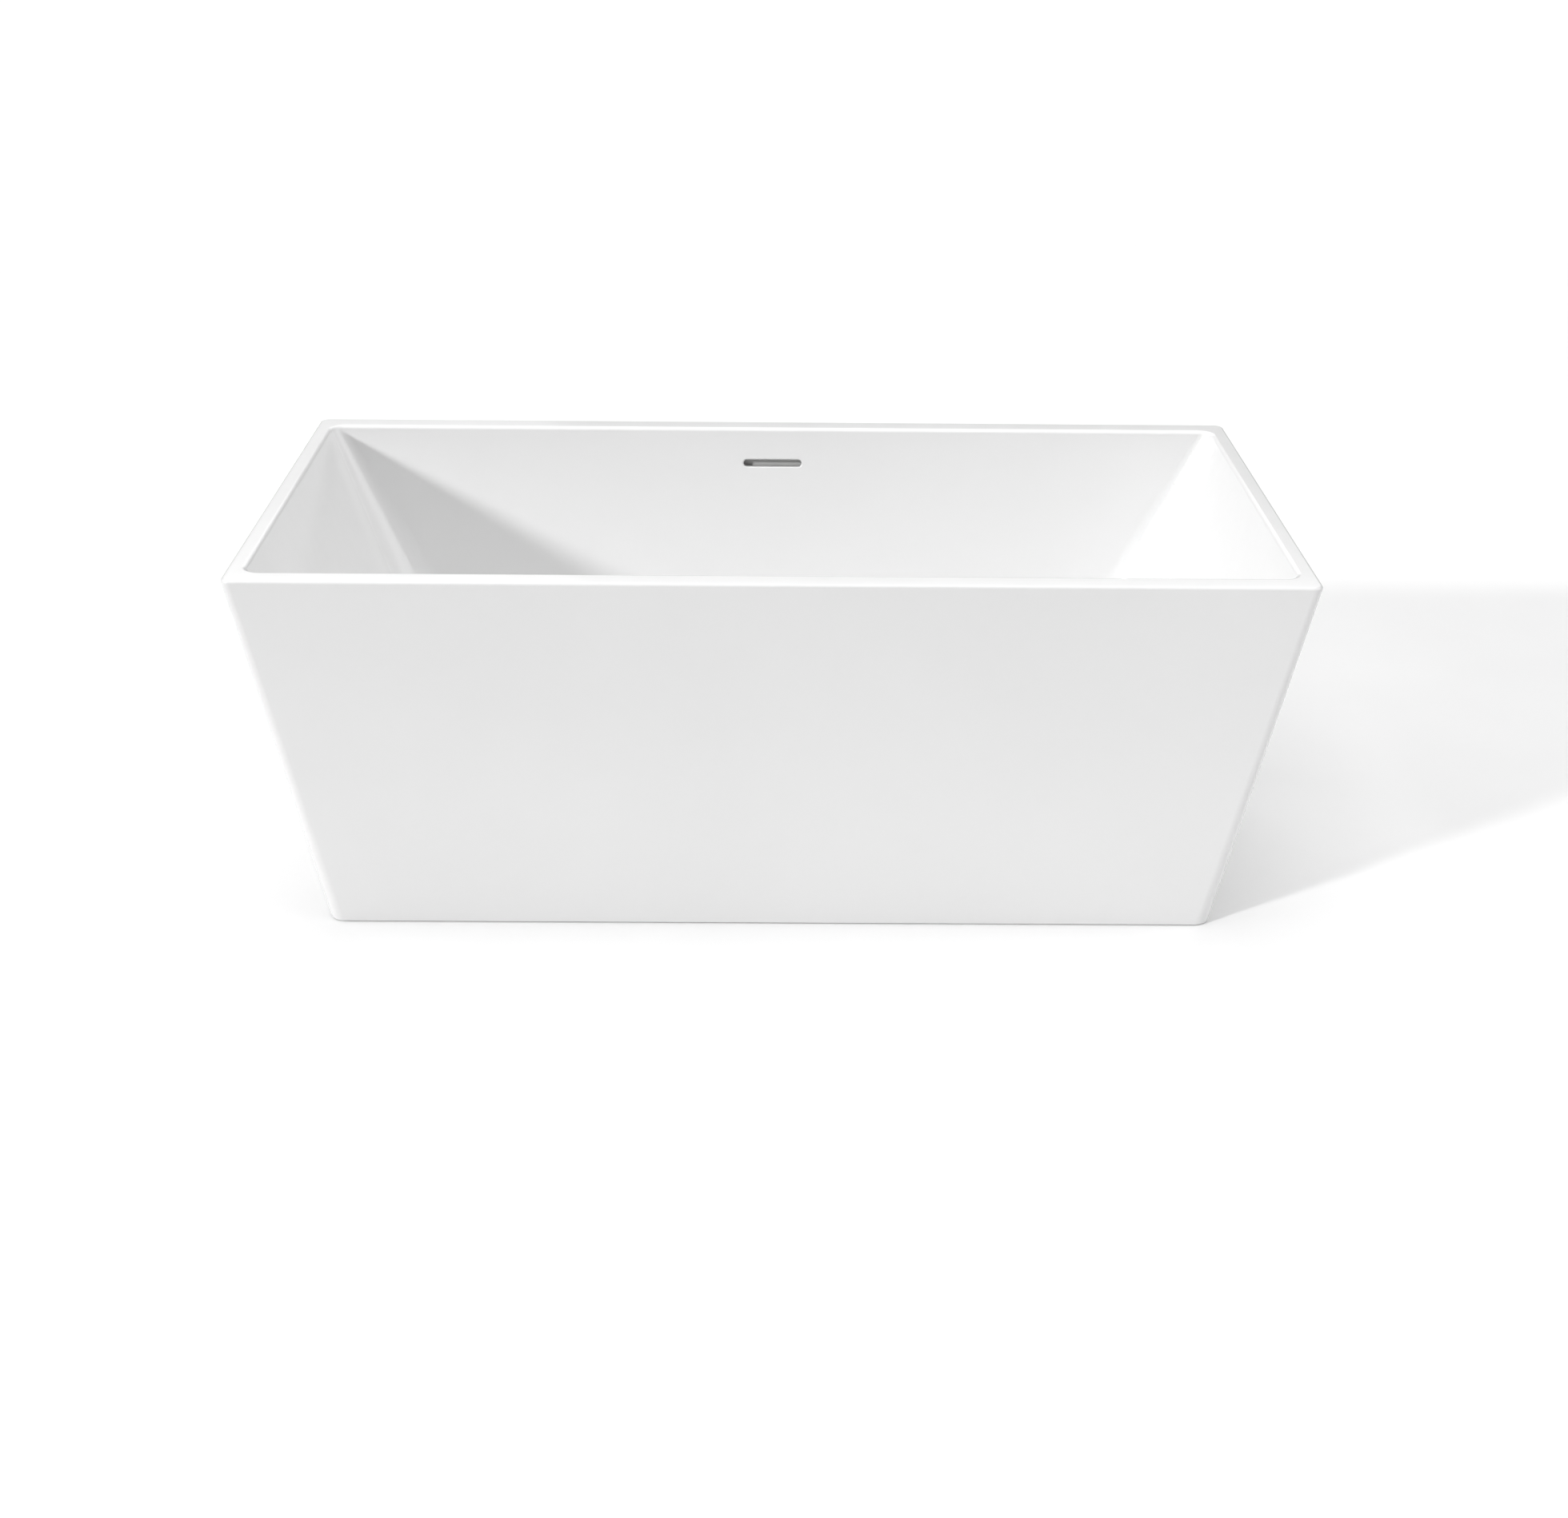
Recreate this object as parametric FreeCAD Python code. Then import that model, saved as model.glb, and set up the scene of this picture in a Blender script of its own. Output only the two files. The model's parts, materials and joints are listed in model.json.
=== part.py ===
"""Freestanding double-ended acrylic bathtub with a slot overflow.

Frame: millimetres, X along the length, Y across (front panel at -Y, overflow at +Y), Z up.
The origin lies on the floor, under the middle of the tub.

The tub is a double wall: a basin and an apron, both thermoformed acrylic backed with glass-fibre
laminate, bonded together under the rim.  A steel frame under the basin floor stands on six
screw feet.  The drain, its push-to-open stopper and the overflow hang from the basin.
"""
import FreeCAD, Part
import math
import os

Vector = FreeCAD.Vector

# ---- overall size --------------------------------------------------------------------------------
LENGTH = 1500.0
WIDTH = 750.0
HEIGHT = 580.0
TAPER = 0.15                # every outside panel leans in by this much per millimetre of height
SKIRT_GAP = 2.0             # the apron hangs just clear of the floor

# ---- double wall ---------------------------------------------------------------------------------
ACRYLIC = 4.0
LAMINATE = 3.0
WALL = ACRYLIC + LAMINATE
RIM_END = 25.0              # flat rim width at the two short ends
RIM_SIDE = 38.0             # flat rim width along the two long sides
RIM_LIP = 10.0              # how far the basin's outer lip turns down
RIM_OUTER_ROUND = 4.5
RIM_INNER_ROUND = 7.5
BEAD_WIDTH = 10.0
BEAD_HEIGHT = RIM_LIP - ACRYLIC
APRON_TOP_FLANGE = 15.0
APRON_BOTTOM_FLANGE = 25.0

# ---- basin interior ------------------------------------------------------------------------------
FLOOR_TOP = 130.0
END_SLOPE = 0.42            # backrests lean out by this much per millimetre of height
SIDE_SLOPE = 0.15
CORNER_TOP = 19.0           # plan radius of the inner corners at the rim
CORNER_FLOOR = 100.0        # the same radius down at the floor
FLOOR_ROUND = 60.0
OUTER_CORNER_TOP = 15.0
OUTER_CORNER_BASE = 24.0

# ---- slot overflow in the rear wall --------------------------------------------------------------
SLOT_DEPTH = 57.0           # slot centre below the rim
SLOT_LENGTH = 95.0
SLOT_HEIGHT = 10.5
SLOT_ROUND = 2.0
LINER = 1.0
OVERFLOW_GASKET = 2.0
BOX_HALF_LENGTH = 58.0
BOX_HALF_HEIGHT = 17.0
BOX_DEPTH = 18.0
BOX_WALL = 2.0

# ---- overflow hose -------------------------------------------------------------------------------
HOSE_R = 8.5
HOSE_BORE = 6.8
SPIGOT_R = 6.5
SPIGOT_BORE = 5.0
SPIGOT_LENGTH = 24.0
HOSE_BEND = 55.0
HOSE_START_GAP = 3.0        # free length of spigot between the box and the hose
HOSE_END_GAP = 4.0          # the same at the tee
CLAMP_R = 10.3
CLAMP_WIDTH = 9.0
CLAMP_UPPER_SETBACK = 4.0   # the clamp's distance from the box
CLAMP_LOWER_SETBACK = 8.0

# ---- drain ---------------------------------------------------------------------------------------
DRAIN_Y = 90.0
THREAD_GAP = 0.3            # clearance left where one threaded part screws over another
TAIL_R = 24.0
TAIL_BORE = 20.0
TAIL_END = 84.0
DRAIN_HOLE = 24.5
FLANGE_R = 34.0
FLANGE_HEIGHT = 2.5
FLANGE_EDGE = 0.8           # upright outer edge of the flange, below its bevel
FLANGE_BEVEL = 1.5
SEAT_DEPTH = 6.0            # the flange's mouth tapers by this much down to the bore
SEAL_UPPER = 1.0
SEAL_LOWER = 4.0
LOCKNUT_HEIGHT = 11.0
BRANCH_Z = 62.0
TEE_R = 30.0
TEE_TOP = 104.0
TEE_BOTTOM = 36.0
TAILPIECE_R = 20.0
TAILPIECE_NECK_R = 18.5     # the upper part that goes through the slip nut
TAILPIECE_BORE = 16.0
TAILPIECE_END = 8.0
TAILPIECE_SHOULDER = 28.0
TAILPIECE_TOP = 50.0
SLIP_NUT_R = 37.0
SLIP_NUT_SIDES = 12
SLIP_NUT_LIP = 3.0
SLIP_NUT_GRIP = 8.0         # how far the nut reaches up over the tee
SLIP_WASHER = 3.0

# ---- stopper -------------------------------------------------------------------------------------
CAP_R = 31.0
CAP_EDGE = 2.5
CAP_DOME = 2.0
CAP_BEVEL = 0.8             # bevel round the underside
CAP_SHOULDER = 1.2          # bevel round the top
CAP_GAP = 0.5               # the closed cap stands this far above the flange
CAP_SEAL_HEIGHT = 3.0
CAP_SEAL_TOP_R = 24.9
CAP_SEAL_FOOT_R = 22.0
CAP_SEAL_BORE = 9.5
STEM_R = 3.5
STEM_FIT = 0.06
STEM_END = 108.0
CARTRIDGE_R = 8.0
CARTRIDGE_TOP = 126.0
CARTRIDGE_SCREW = 4.0       # how far the cartridge's screw reaches below the hub
HUB_Z = 100.0
HUB_HEIGHT = 4.0
SPOKE_HALF_WIDTH = 1.5

# ---- base board and steel frame ------------------------------------------------------------------
BOARD = 15.0
BOARD_HALF_LENGTH = 470.0
BOARD_HALF_WIDTH = 215.0
BOARD_CUTOUT = 65.0
TUBE = 30.0
TUBE_WALL = 2.0
RAIL_HALF_LENGTH = 600.0
RAIL_Y = 200.0
CROSS_X = {"left": -560.0, "middle": 110.0, "right": 560.0}

# ---- levelling feet ------------------------------------------------------------------------------
FOOT_Y = 232.0
FOOT_X = (-560.0, 110.0, 560.0)
STUD_R = 6.0
STUD_FIT = 0.1
STUD_BOTTOM = 6.0
STUD_TOP = 112.0
STUD_CHAMFER = 1.0
COLLAR_HEIGHT = 8.0
COLLAR_FLATS = 14.0
PAD_R = 22.0
PAD_NECK_R = 11.0
PAD_BEVEL = 1.0
PAD_RIM = 4.0               # top of the pad's upright edge
PAD_SHOULDER = 9.0          # where the sloping top meets the neck
PAD_HEIGHT = 14.0
NUT_FLATS = 19.0
NUT_HEIGHT = 10.0
BRACKET = 4.0
BRACKET_REACH = 34.0
BRACKET_WIDTH = 46.0

# ---- apron brackets ------------------------------------------------------------------------------
ARM = 3.0
ARM_GAP = 2.0               # left between a bracket foot and the apron wall
ARM_WIDTH = 40.0
ARM_X = 280.0
SCREW_R = 2.5
SCREW_HEAD_R = 4.5
SCREW_HEAD = 3.0
SCREW_BITE = 5.0

# ---- levels and places worked out from the sizes above -------------------------------------------
FLOOR_UNDER = FLOOR_TOP - WALL
RAIL_TOP = FLOOR_UNDER - BOARD
RAIL_BOTTOM = RAIL_TOP - TUBE
INNER_HALF_X = LENGTH / 2 - RIM_END
INNER_HALF_Y = WIDTH / 2 - RIM_SIDE
SEAM_Z = HEIGHT - RIM_LIP
APRON_FLOOR = SKIRT_GAP + ACRYLIC
ARM_Z = SKIRT_GAP + WALL
CAP_Z = FLOOR_TOP + SEAL_UPPER + FLANGE_HEIGHT + CAP_GAP
WIDEST_DEPTH = RIM_OUTER_ROUND * (1 - math.sin(math.atan(TAPER)))  # where the rounded edge ends
BEYOND = 40.0               # how far cutting bodies run past the faces they cut


# ---- helpers -------------------------------------------------------------------------------------
def rounded_rectangle(half_x, half_y, radius, z):
    """A closed wire: a rectangle with four rounded corners, lying flat at height z."""
    corners = []
    for start, sign_x, sign_y in ((0, 1, 1), (90, -1, 1), (180, -1, -1), (270, 1, -1)):
        centre = Vector(sign_x * (half_x - radius), sign_y * (half_y - radius), z)
        points = []
        for turn in (start, start + 45, start + 90):
            angle = math.radians(turn)
            points.append(centre + Vector(radius * math.cos(angle), radius * math.sin(angle), 0))
        corners.append(points)
    edges = []
    for corner, following in zip(corners, corners[1:] + corners[:1]):
        edges.append(Part.Arc(*corner).toShape())
        edges.append(Part.LineSegment(corner[2], following[0]).toShape())
    return Part.Wire(edges)


def flat_edges(shape, z):
    """The edges of a shape that lie in the horizontal plane at height z."""
    return [
        edge for edge in shape.Edges
        if edge.BoundBox.ZLength < 1e-6 and abs(edge.BoundBox.ZMin - z) < 1e-6
    ]


def cylinder(radius, z_low, z_high, x=0.0, y=0.0):
    return Part.makeCylinder(radius, z_high - z_low, Vector(x, y, z_low))


def ring(outer, inner, z_low, z_high, x=0.0, y=0.0):
    return cylinder(outer, z_low, z_high, x, y).cut(
        cylinder(inner, z_low - BEYOND, z_high + BEYOND, x, y))


def box(x_low, x_high, y_low, y_high, z_low, z_high):
    return Part.makeBox(
        x_high - x_low, y_high - y_low, z_high - z_low, Vector(x_low, y_low, z_low))


def prism(sides, across_flats, z_low, z_high, x=0.0, y=0.0):
    """An upright prism with flat sides, such as a nut."""
    radius = across_flats / 2 / math.cos(math.pi / sides)
    points = []
    for i in range(sides + 1):
        angle = 2 * math.pi * (i + 0.5) / sides
        points.append(Vector(x + radius * math.cos(angle), y + radius * math.sin(angle), z_low))
    return Part.Face(Part.makePolygon(points)).extrude(Vector(0, 0, z_high - z_low))


def turned(profile, x=0.0, y=0.0):
    """A solid of revolution about the vertical line through (x, y); profile is (radius, z) pairs."""
    points = [Vector(x + radius, y, z) for radius, z in profile]
    face = Part.Face(Part.makePolygon(points + points[:1]))
    return face.revolve(Vector(x, y, 0), Vector(0, 0, 1), 360)


def group(shapes):
    return Part.makeCompound(shapes)


def one_solid(shape):
    """The single solid a chain of cuts has left."""
    return shape.removeSplitter().Solids[0]


# ---- the two tapered forms everything in the double wall is cut from -----------------------------
def basin_form(grow, z_low, z_high):
    """The bathing space, with its walls and floor moved outward by grow."""
    def section(z):
        depth = HEIGHT - z
        radius = CORNER_TOP + (CORNER_FLOOR - CORNER_TOP) * depth / (HEIGHT - FLOOR_TOP) + grow
        half_x = INNER_HALF_X - END_SLOPE * depth + grow * math.hypot(1, END_SLOPE)
        half_y = INNER_HALF_Y - SIDE_SLOPE * depth + grow * math.hypot(1, SIDE_SLOPE)
        return rounded_rectangle(half_x, half_y, radius, z)
    form = Part.makeLoft([section(z_low), section(z_high)], True, True)
    return form.makeFillet(FLOOR_ROUND + grow, flat_edges(form, z_low))


def outer_form(inset, z_low, z_high):
    """The outside of the tub between two levels, with its panels moved inward by inset."""
    def section(z):
        depth = HEIGHT - z
        lean = TAPER * (depth - WIDEST_DEPTH) + inset * math.hypot(1, TAPER)
        radius = OUTER_CORNER_TOP + (OUTER_CORNER_BASE - OUTER_CORNER_TOP) * depth / HEIGHT
        radius = max(radius - inset, 4.0)
        return rounded_rectangle(LENGTH / 2 - lean, WIDTH / 2 - lean, radius, z)
    return Part.makeLoft([section(z_low), section(z_high)], True, True)


# ---- overflow wall frame: u along X, v up the sloping rear wall, w straight out through it -------
SLOT_Z = HEIGHT - SLOT_DEPTH
SLOT_Y = INNER_HALF_Y - SIDE_SLOPE * SLOT_DEPTH
WALL_LEAN = math.degrees(math.atan(SIDE_SLOPE))


def on_rear_wall(shape):
    """Places a shape drawn with u, w, v along X, Y, Z at the slot in the sloping rear wall."""
    shape.rotate(Vector(0, 0, 0), Vector(1, 0, 0), -WALL_LEAN)
    shape.translate(Vector(0, SLOT_Y, SLOT_Z))
    return shape


def rear_wall_point(w, v):
    lean = math.atan(SIDE_SLOPE)
    return Vector(
        0,
        SLOT_Y + w * math.cos(lean) + v * math.sin(lean),
        SLOT_Z - w * math.sin(lean) + v * math.cos(lean))


def slot(length, height, w_low, w_high):
    """A bar with the round-ended section of the slot, running through the wall."""
    half = length / 2 - height / 2
    radius = height / 2
    start = Vector(-half, w_low, radius)
    wire = Part.Wire([
        Part.Arc(Vector(-half, w_low, -radius), Vector(-half - radius, w_low, 0), start).toShape(),
        Part.LineSegment(start, Vector(half, w_low, radius)).toShape(),
        Part.Arc(Vector(half, w_low, radius), Vector(half + radius, w_low, 0),
                 Vector(half, w_low, -radius)).toShape(),
        Part.LineSegment(Vector(half, w_low, -radius), Vector(-half, w_low, -radius)).toShape(),
    ])
    return Part.Face(wire).extrude(Vector(0, w_high - w_low, 0))


# ---- double wall pieces --------------------------------------------------------------------------
def basin_shell():
    cavity = basin_form(0, FLOOR_TOP, HEIGHT + BEYOND)
    body = basin_form(ACRYLIC, FLOOR_TOP - ACRYLIC, HEIGHT - ACRYLIC / 2)
    rim = outer_form(0, SEAM_Z, HEIGHT)
    rim = rim.makeFillet(RIM_OUTER_ROUND, flat_edges(rim, HEIGHT))
    under_rim = outer_form(ACRYLIC, SEAM_Z - BEYOND, HEIGHT - ACRYLIC).cut(body)
    shell = one_solid(rim.cut(under_rim).fuse(body).cut(cavity))
    lip = [
        edge for edge in flat_edges(shell, HEIGHT)
        if abs(edge.CenterOfMass.x) < INNER_HALF_X + 1 and abs(edge.CenterOfMass.y) < INNER_HALF_Y + 1
    ]
    shell = shell.makeFillet(RIM_INNER_ROUND, lip)
    shell = shell.cut(cylinder(DRAIN_HOLE, 0, FLOOR_TOP + BEYOND, y=DRAIN_Y))
    hole = on_rear_wall(slot(SLOT_LENGTH + 2 * LINER, SLOT_HEIGHT + 2 * LINER, -BEYOND, BEYOND))
    shell = shell.cut(hole)
    mouth = [
        edge for edge in shell.Edges
        if abs(edge.CenterOfMass.z - SLOT_Z) < SLOT_HEIGHT
        and abs(edge.CenterOfMass.x) < SLOT_LENGTH
        and edge.BoundBox.YMax < SLOT_Y + ACRYLIC / 2
        and edge.BoundBox.YMin > SLOT_Y - ACRYLIC / 2
    ]
    return one_solid(shell.makeFillet(SLOT_ROUND, mouth))


def basin_laminate():
    outside = basin_form(WALL, FLOOR_UNDER, SEAM_Z - THREAD_GAP)
    inside = basin_form(ACRYLIC, FLOOR_TOP - ACRYLIC, HEIGHT)
    shell = outside.cut(inside)
    shell = shell.cut(cylinder(DRAIN_HOLE, 0, FLOOR_TOP + BEYOND, y=DRAIN_Y))
    hole = on_rear_wall(slot(SLOT_LENGTH + 2 * LINER, SLOT_HEIGHT + 2 * LINER, -BEYOND, BEYOND))
    return one_solid(shell.cut(hole))


def apron_shell():
    outside = outer_form(0, SKIRT_GAP, SEAM_Z)
    inside = outer_form(ACRYLIC, APRON_FLOOR, SEAM_Z - ACRYLIC)
    top_opening = outer_form(APRON_TOP_FLANGE, SEAM_Z - BEYOND, SEAM_Z + BEYOND)
    bottom_opening = outer_form(APRON_BOTTOM_FLANGE, SKIRT_GAP - BEYOND, SKIRT_GAP + BEYOND)
    return one_solid(
        outside.cut(inside).cut(top_opening).cut(bottom_opening).cut(apron_screws()))


def apron_laminate():
    outside = outer_form(ACRYLIC, APRON_FLOOR, SEAM_Z - ACRYLIC)
    inside = outer_form(WALL, APRON_FLOOR + LAMINATE, SEAM_Z)
    bottom_opening = outer_form(APRON_BOTTOM_FLANGE, SKIRT_GAP - BEYOND, SKIRT_GAP + BEYOND)
    return one_solid(outside.cut(inside).cut(bottom_opening).cut(apron_screws()))


def rim_bond_bead():
    outside = outer_form(ACRYLIC, SEAM_Z, SEAM_Z + BEAD_HEIGHT)
    inside = outer_form(ACRYLIC + BEAD_WIDTH, SEAM_Z - BEYOND, SEAM_Z + BEYOND)
    return one_solid(outside.cut(inside))


# ---- base board and steel frame ------------------------------------------------------------------
def base_board():
    board = box(-BOARD_HALF_LENGTH, BOARD_HALF_LENGTH, -BOARD_HALF_WIDTH, BOARD_HALF_WIDTH,
                RAIL_TOP, FLOOR_UNDER)
    board = board.cut(cylinder(BOARD_CUTOUT, RAIL_TOP - BEYOND, FLOOR_UNDER + BEYOND, y=DRAIN_Y))
    return board.cut(frame_screws())


def square_tube(length):
    """A square tube along X, its middle at the origin."""
    half = TUBE / 2
    bore = half - TUBE_WALL
    outside = box(-length / 2, length / 2, -half, half, -half, half)
    return outside.cut(box(-length, length, -bore, bore, -bore, bore))


def frame_rail(side):
    rail = square_tube(2 * RAIL_HALF_LENGTH)
    rail.translate(Vector(0, side * RAIL_Y, RAIL_TOP - TUBE / 2))
    return rail.cut(frame_screws())


def frame_cross(x):
    cross = square_tube(2 * RAIL_Y - TUBE)
    cross.rotate(Vector(0, 0, 0), Vector(0, 0, 1), 90)
    cross.translate(Vector(x, 0, RAIL_TOP - TUBE / 2))
    return cross


def screw_up(x, y, z_head, length):
    """A pan-head screw driven upward, its head under the level z_head."""
    head = cylinder(SCREW_HEAD_R, z_head - SCREW_HEAD, z_head, x, y)
    return head.fuse(cylinder(SCREW_R, z_head, z_head + length, x, y))


def screw_down(x, y, z_head, length):
    """A pan-head screw driven downward, its head on the level z_head."""
    head = cylinder(SCREW_HEAD_R, z_head, z_head + SCREW_HEAD, x, y)
    return head.fuse(cylinder(SCREW_R, z_head - length, z_head, x, y))


def frame_screws():
    """Screws up through both rails into the base board."""
    screws = []
    for side in (-1, 1):
        for step in (-1.5, -0.5, 0.5, 1.5):
            x = step * BOARD_HALF_LENGTH / 2
            screws.append(screw_up(x, side * RAIL_Y, RAIL_BOTTOM, TUBE + 0.7 * BOARD))
    return group(screws)


# ---- levelling feet ------------------------------------------------------------------------------
def feet():
    """Every foot as its number and its place, front row first."""
    places = [(x, side * FOOT_Y) for side in (-1, 1) for x in FOOT_X]
    return list(enumerate(places, start=1))


def foot_brackets():
    """Flat steel tongues welded to the outside of the rails, one over each foot."""
    tongues = []
    for _, (x, y) in feet():
        side = math.copysign(1, y)
        near = side * (RAIL_Y + TUBE / 2)
        far = near + side * BRACKET_REACH
        tongue = box(x - BRACKET_WIDTH / 2, x + BRACKET_WIDTH / 2, min(near, far), max(near, far),
                     RAIL_BOTTOM, RAIL_BOTTOM + BRACKET)
        web = box(x - BRACKET_WIDTH / 2, x - BRACKET_WIDTH / 2 + BRACKET, min(near, far),
                  max(near, far), RAIL_BOTTOM + BRACKET, RAIL_TOP - BRACKET)
        bore = cylinder(STUD_R + STUD_FIT, 0, HEIGHT, x, y)
        tongues.append(tongue.fuse(web).cut(bore).removeSplitter())
    return group(tongues)


def hex_nuts(z_high):
    """One nut on every foot stud, its top at z_high."""
    nuts = []
    for _, (x, y) in feet():
        nut = prism(6, NUT_FLATS, z_high - NUT_HEIGHT, z_high, x, y)
        nuts.append(nut.cut(cylinder(STUD_R + STUD_FIT, 0, HEIGHT, x, y)))
    return group(nuts)


def foot_stud(x, y):
    stud = cylinder(STUD_R, STUD_BOTTOM, STUD_TOP, x, y)
    collar = prism(6, COLLAR_FLATS, PAD_HEIGHT, PAD_HEIGHT + COLLAR_HEIGHT, x, y)
    stud = stud.fuse(collar).removeSplitter()
    return stud.makeChamfer(STUD_CHAMFER, flat_edges(stud, STUD_TOP))


def foot_pad(x, y):
    """A moulded foot whose socket holds the lower end of the stud."""
    socket = STUD_R + STUD_FIT
    return turned([
        (0, 0), (PAD_R - PAD_BEVEL, 0), (PAD_R, PAD_BEVEL), (PAD_R, PAD_RIM),
        (PAD_NECK_R, PAD_SHOULDER), (PAD_NECK_R, PAD_HEIGHT), (socket, PAD_HEIGHT),
        (socket, STUD_BOTTOM), (0, STUD_BOTTOM),
    ], x, y)


# ---- brackets between the frame and the apron's bottom flange ------------------------------------
def arm_places():
    """Each bracket as the angle it faces, its offset along the wall, and the frame face it leaves."""
    frame_side = RAIL_Y + TUBE / 2
    places = []
    for facing in (0, 180):
        for offset in (-RAIL_Y, RAIL_Y):
            places.append((facing, offset, RAIL_HALF_LENGTH, LENGTH / 2))
    for facing in (90, 270):
        for offset in (-ARM_X, ARM_X):
            places.append((facing, offset, frame_side, WIDTH / 2))
    return places


def arm_end(half_size):
    """Where a bracket foot stops, just short of the apron's inner face."""
    return half_size - TAPER * (HEIGHT - ARM_Z) - WALL - ARM_GAP


def apron_brackets():
    """Steel angles: one leg against the frame, the other lying on the apron's bottom flange."""
    angles = []
    for facing, offset, near, half_size in arm_places():
        low, high = offset - ARM_WIDTH / 2, offset + ARM_WIDTH / 2
        foot = box(near, arm_end(half_size), low, high, ARM_Z, ARM_Z + ARM)
        leg = box(near, near + ARM, low, high, ARM_Z + ARM, RAIL_TOP)
        angle = foot.fuse(leg).removeSplitter()
        angle.rotate(Vector(0, 0, 0), Vector(0, 0, 1), facing)
        angles.append(angle)
    return group(angles).cut(apron_screws())


def apron_screws():
    """One screw through each bracket foot into the apron's bottom flange."""
    screws = []
    for facing, offset, _, half_size in arm_places():
        screw = screw_down(arm_end(half_size) - 2 * SCREW_HEAD_R, offset, ARM_Z + ARM,
                           ARM + SCREW_BITE)
        screw.rotate(Vector(0, 0, 0), Vector(0, 0, 1), facing)
        screws.append(screw)
    return group(screws)


# ---- overflow ------------------------------------------------------------------------------------
HOSE_W = WALL + OVERFLOW_GASKET + BOX_DEPTH / 2     # from the basin's inner face to the hose's centre
HOSE_TOP_V = -BOX_HALF_HEIGHT - HOSE_START_GAP


def overflow_liner():
    """A thin metal sleeve that lines the slot through both layers of the wall and the gasket."""
    outside = slot(SLOT_LENGTH + 2 * LINER, SLOT_HEIGHT + 2 * LINER, SLOT_ROUND, WALL)
    inside = slot(SLOT_LENGTH, SLOT_HEIGHT, -BEYOND, BEYOND)
    return on_rear_wall(outside.cut(inside))


def overflow_gasket():
    plate = box(-BOX_HALF_LENGTH, BOX_HALF_LENGTH, WALL, WALL + OVERFLOW_GASKET,
                -BOX_HALF_HEIGHT, BOX_HALF_HEIGHT)
    hole = slot(SLOT_LENGTH + 2 * LINER, SLOT_HEIGHT + 2 * LINER, -BEYOND, BEYOND)
    return on_rear_wall(plate.cut(hole))


def overflow_box():
    """A shallow box behind the slot, with a spigot at the bottom for the hose."""
    front = WALL + OVERFLOW_GASKET
    back = front + BOX_DEPTH
    body = box(-BOX_HALF_LENGTH, BOX_HALF_LENGTH, front, back, -BOX_HALF_HEIGHT, BOX_HALF_HEIGHT)
    hollow = box(-BOX_HALF_LENGTH + BOX_WALL, BOX_HALF_LENGTH - BOX_WALL, 0, back - BOX_WALL,
                 -BOX_HALF_HEIGHT + BOX_WALL, BOX_HALF_HEIGHT - BOX_WALL)
    spigot = Part.makeCylinder(SPIGOT_R, SPIGOT_LENGTH, Vector(0, HOSE_W, -BOX_HALF_HEIGHT),
                               Vector(0, 0, -1))
    bore = Part.makeCylinder(SPIGOT_BORE, 2 * SPIGOT_LENGTH, Vector(0, HOSE_W, 0), Vector(0, 0, -1))
    return on_rear_wall(one_solid(body.cut(hollow).fuse(spigot).cut(bore)))


def hose_route():
    """Straight down behind the rear wall, one wide bend, then level under the tub to the tee."""
    start = rear_wall_point(HOSE_W, HOSE_TOP_V)
    down = (rear_wall_point(HOSE_W, HOSE_TOP_V - 1) - start).normalize()
    inward = Vector(0, -1, 0)
    corner = start + down * ((start.z - BRANCH_Z) / -down.z)
    turn = down.getAngle(inward)
    setback = HOSE_BEND * math.tan(turn / 2)
    bend_start = corner - down * setback
    bend_end = corner + inward * setback
    middle_direction = (inward - down).normalize()
    middle = corner + middle_direction * (HOSE_BEND / math.cos(turn / 2) - HOSE_BEND)
    end = Vector(0, DRAIN_Y + TEE_R + HOSE_END_GAP, BRANCH_Z)
    return Part.Wire([
        Part.LineSegment(start, bend_start).toShape(),
        Part.Arc(bend_start, middle, bend_end).toShape(),
        Part.LineSegment(bend_end, end).toShape(),
    ])


def overflow_hose():
    route = hose_route()
    start = route.OrderedVertexes[0].Point
    down = (route.OrderedVertexes[1].Point - start).normalize()
    pipes = []
    for radius in (HOSE_R, HOSE_BORE):
        section = Part.Wire(Part.makeCircle(radius, start, down))
        pipes.append(route.makePipeShell([section], True, True))
    return one_solid(pipes[0].cut(pipes[1]))


def hose_clamps():
    """Band clamps round both ends of the hose."""
    upper_v = HOSE_TOP_V - CLAMP_UPPER_SETBACK
    upper = Part.makeCylinder(CLAMP_R, CLAMP_WIDTH, Vector(0, HOSE_W, upper_v), Vector(0, 0, -1))
    upper_bore = Part.makeCylinder(HOSE_R, 2 * CLAMP_WIDTH, Vector(0, HOSE_W, HOSE_TOP_V),
                                   Vector(0, 0, -1))
    lower_y = DRAIN_Y + TEE_R + CLAMP_LOWER_SETBACK
    lower = Part.makeCylinder(CLAMP_R, CLAMP_WIDTH, Vector(0, lower_y, BRANCH_Z), Vector(0, 1, 0))
    lower_bore = Part.makeCylinder(HOSE_R, 2 * CLAMP_WIDTH,
                                   Vector(0, lower_y - 1, BRANCH_Z), Vector(0, 1, 0))
    return group([on_rear_wall(upper.cut(upper_bore)), lower.cut(lower_bore)])


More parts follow.
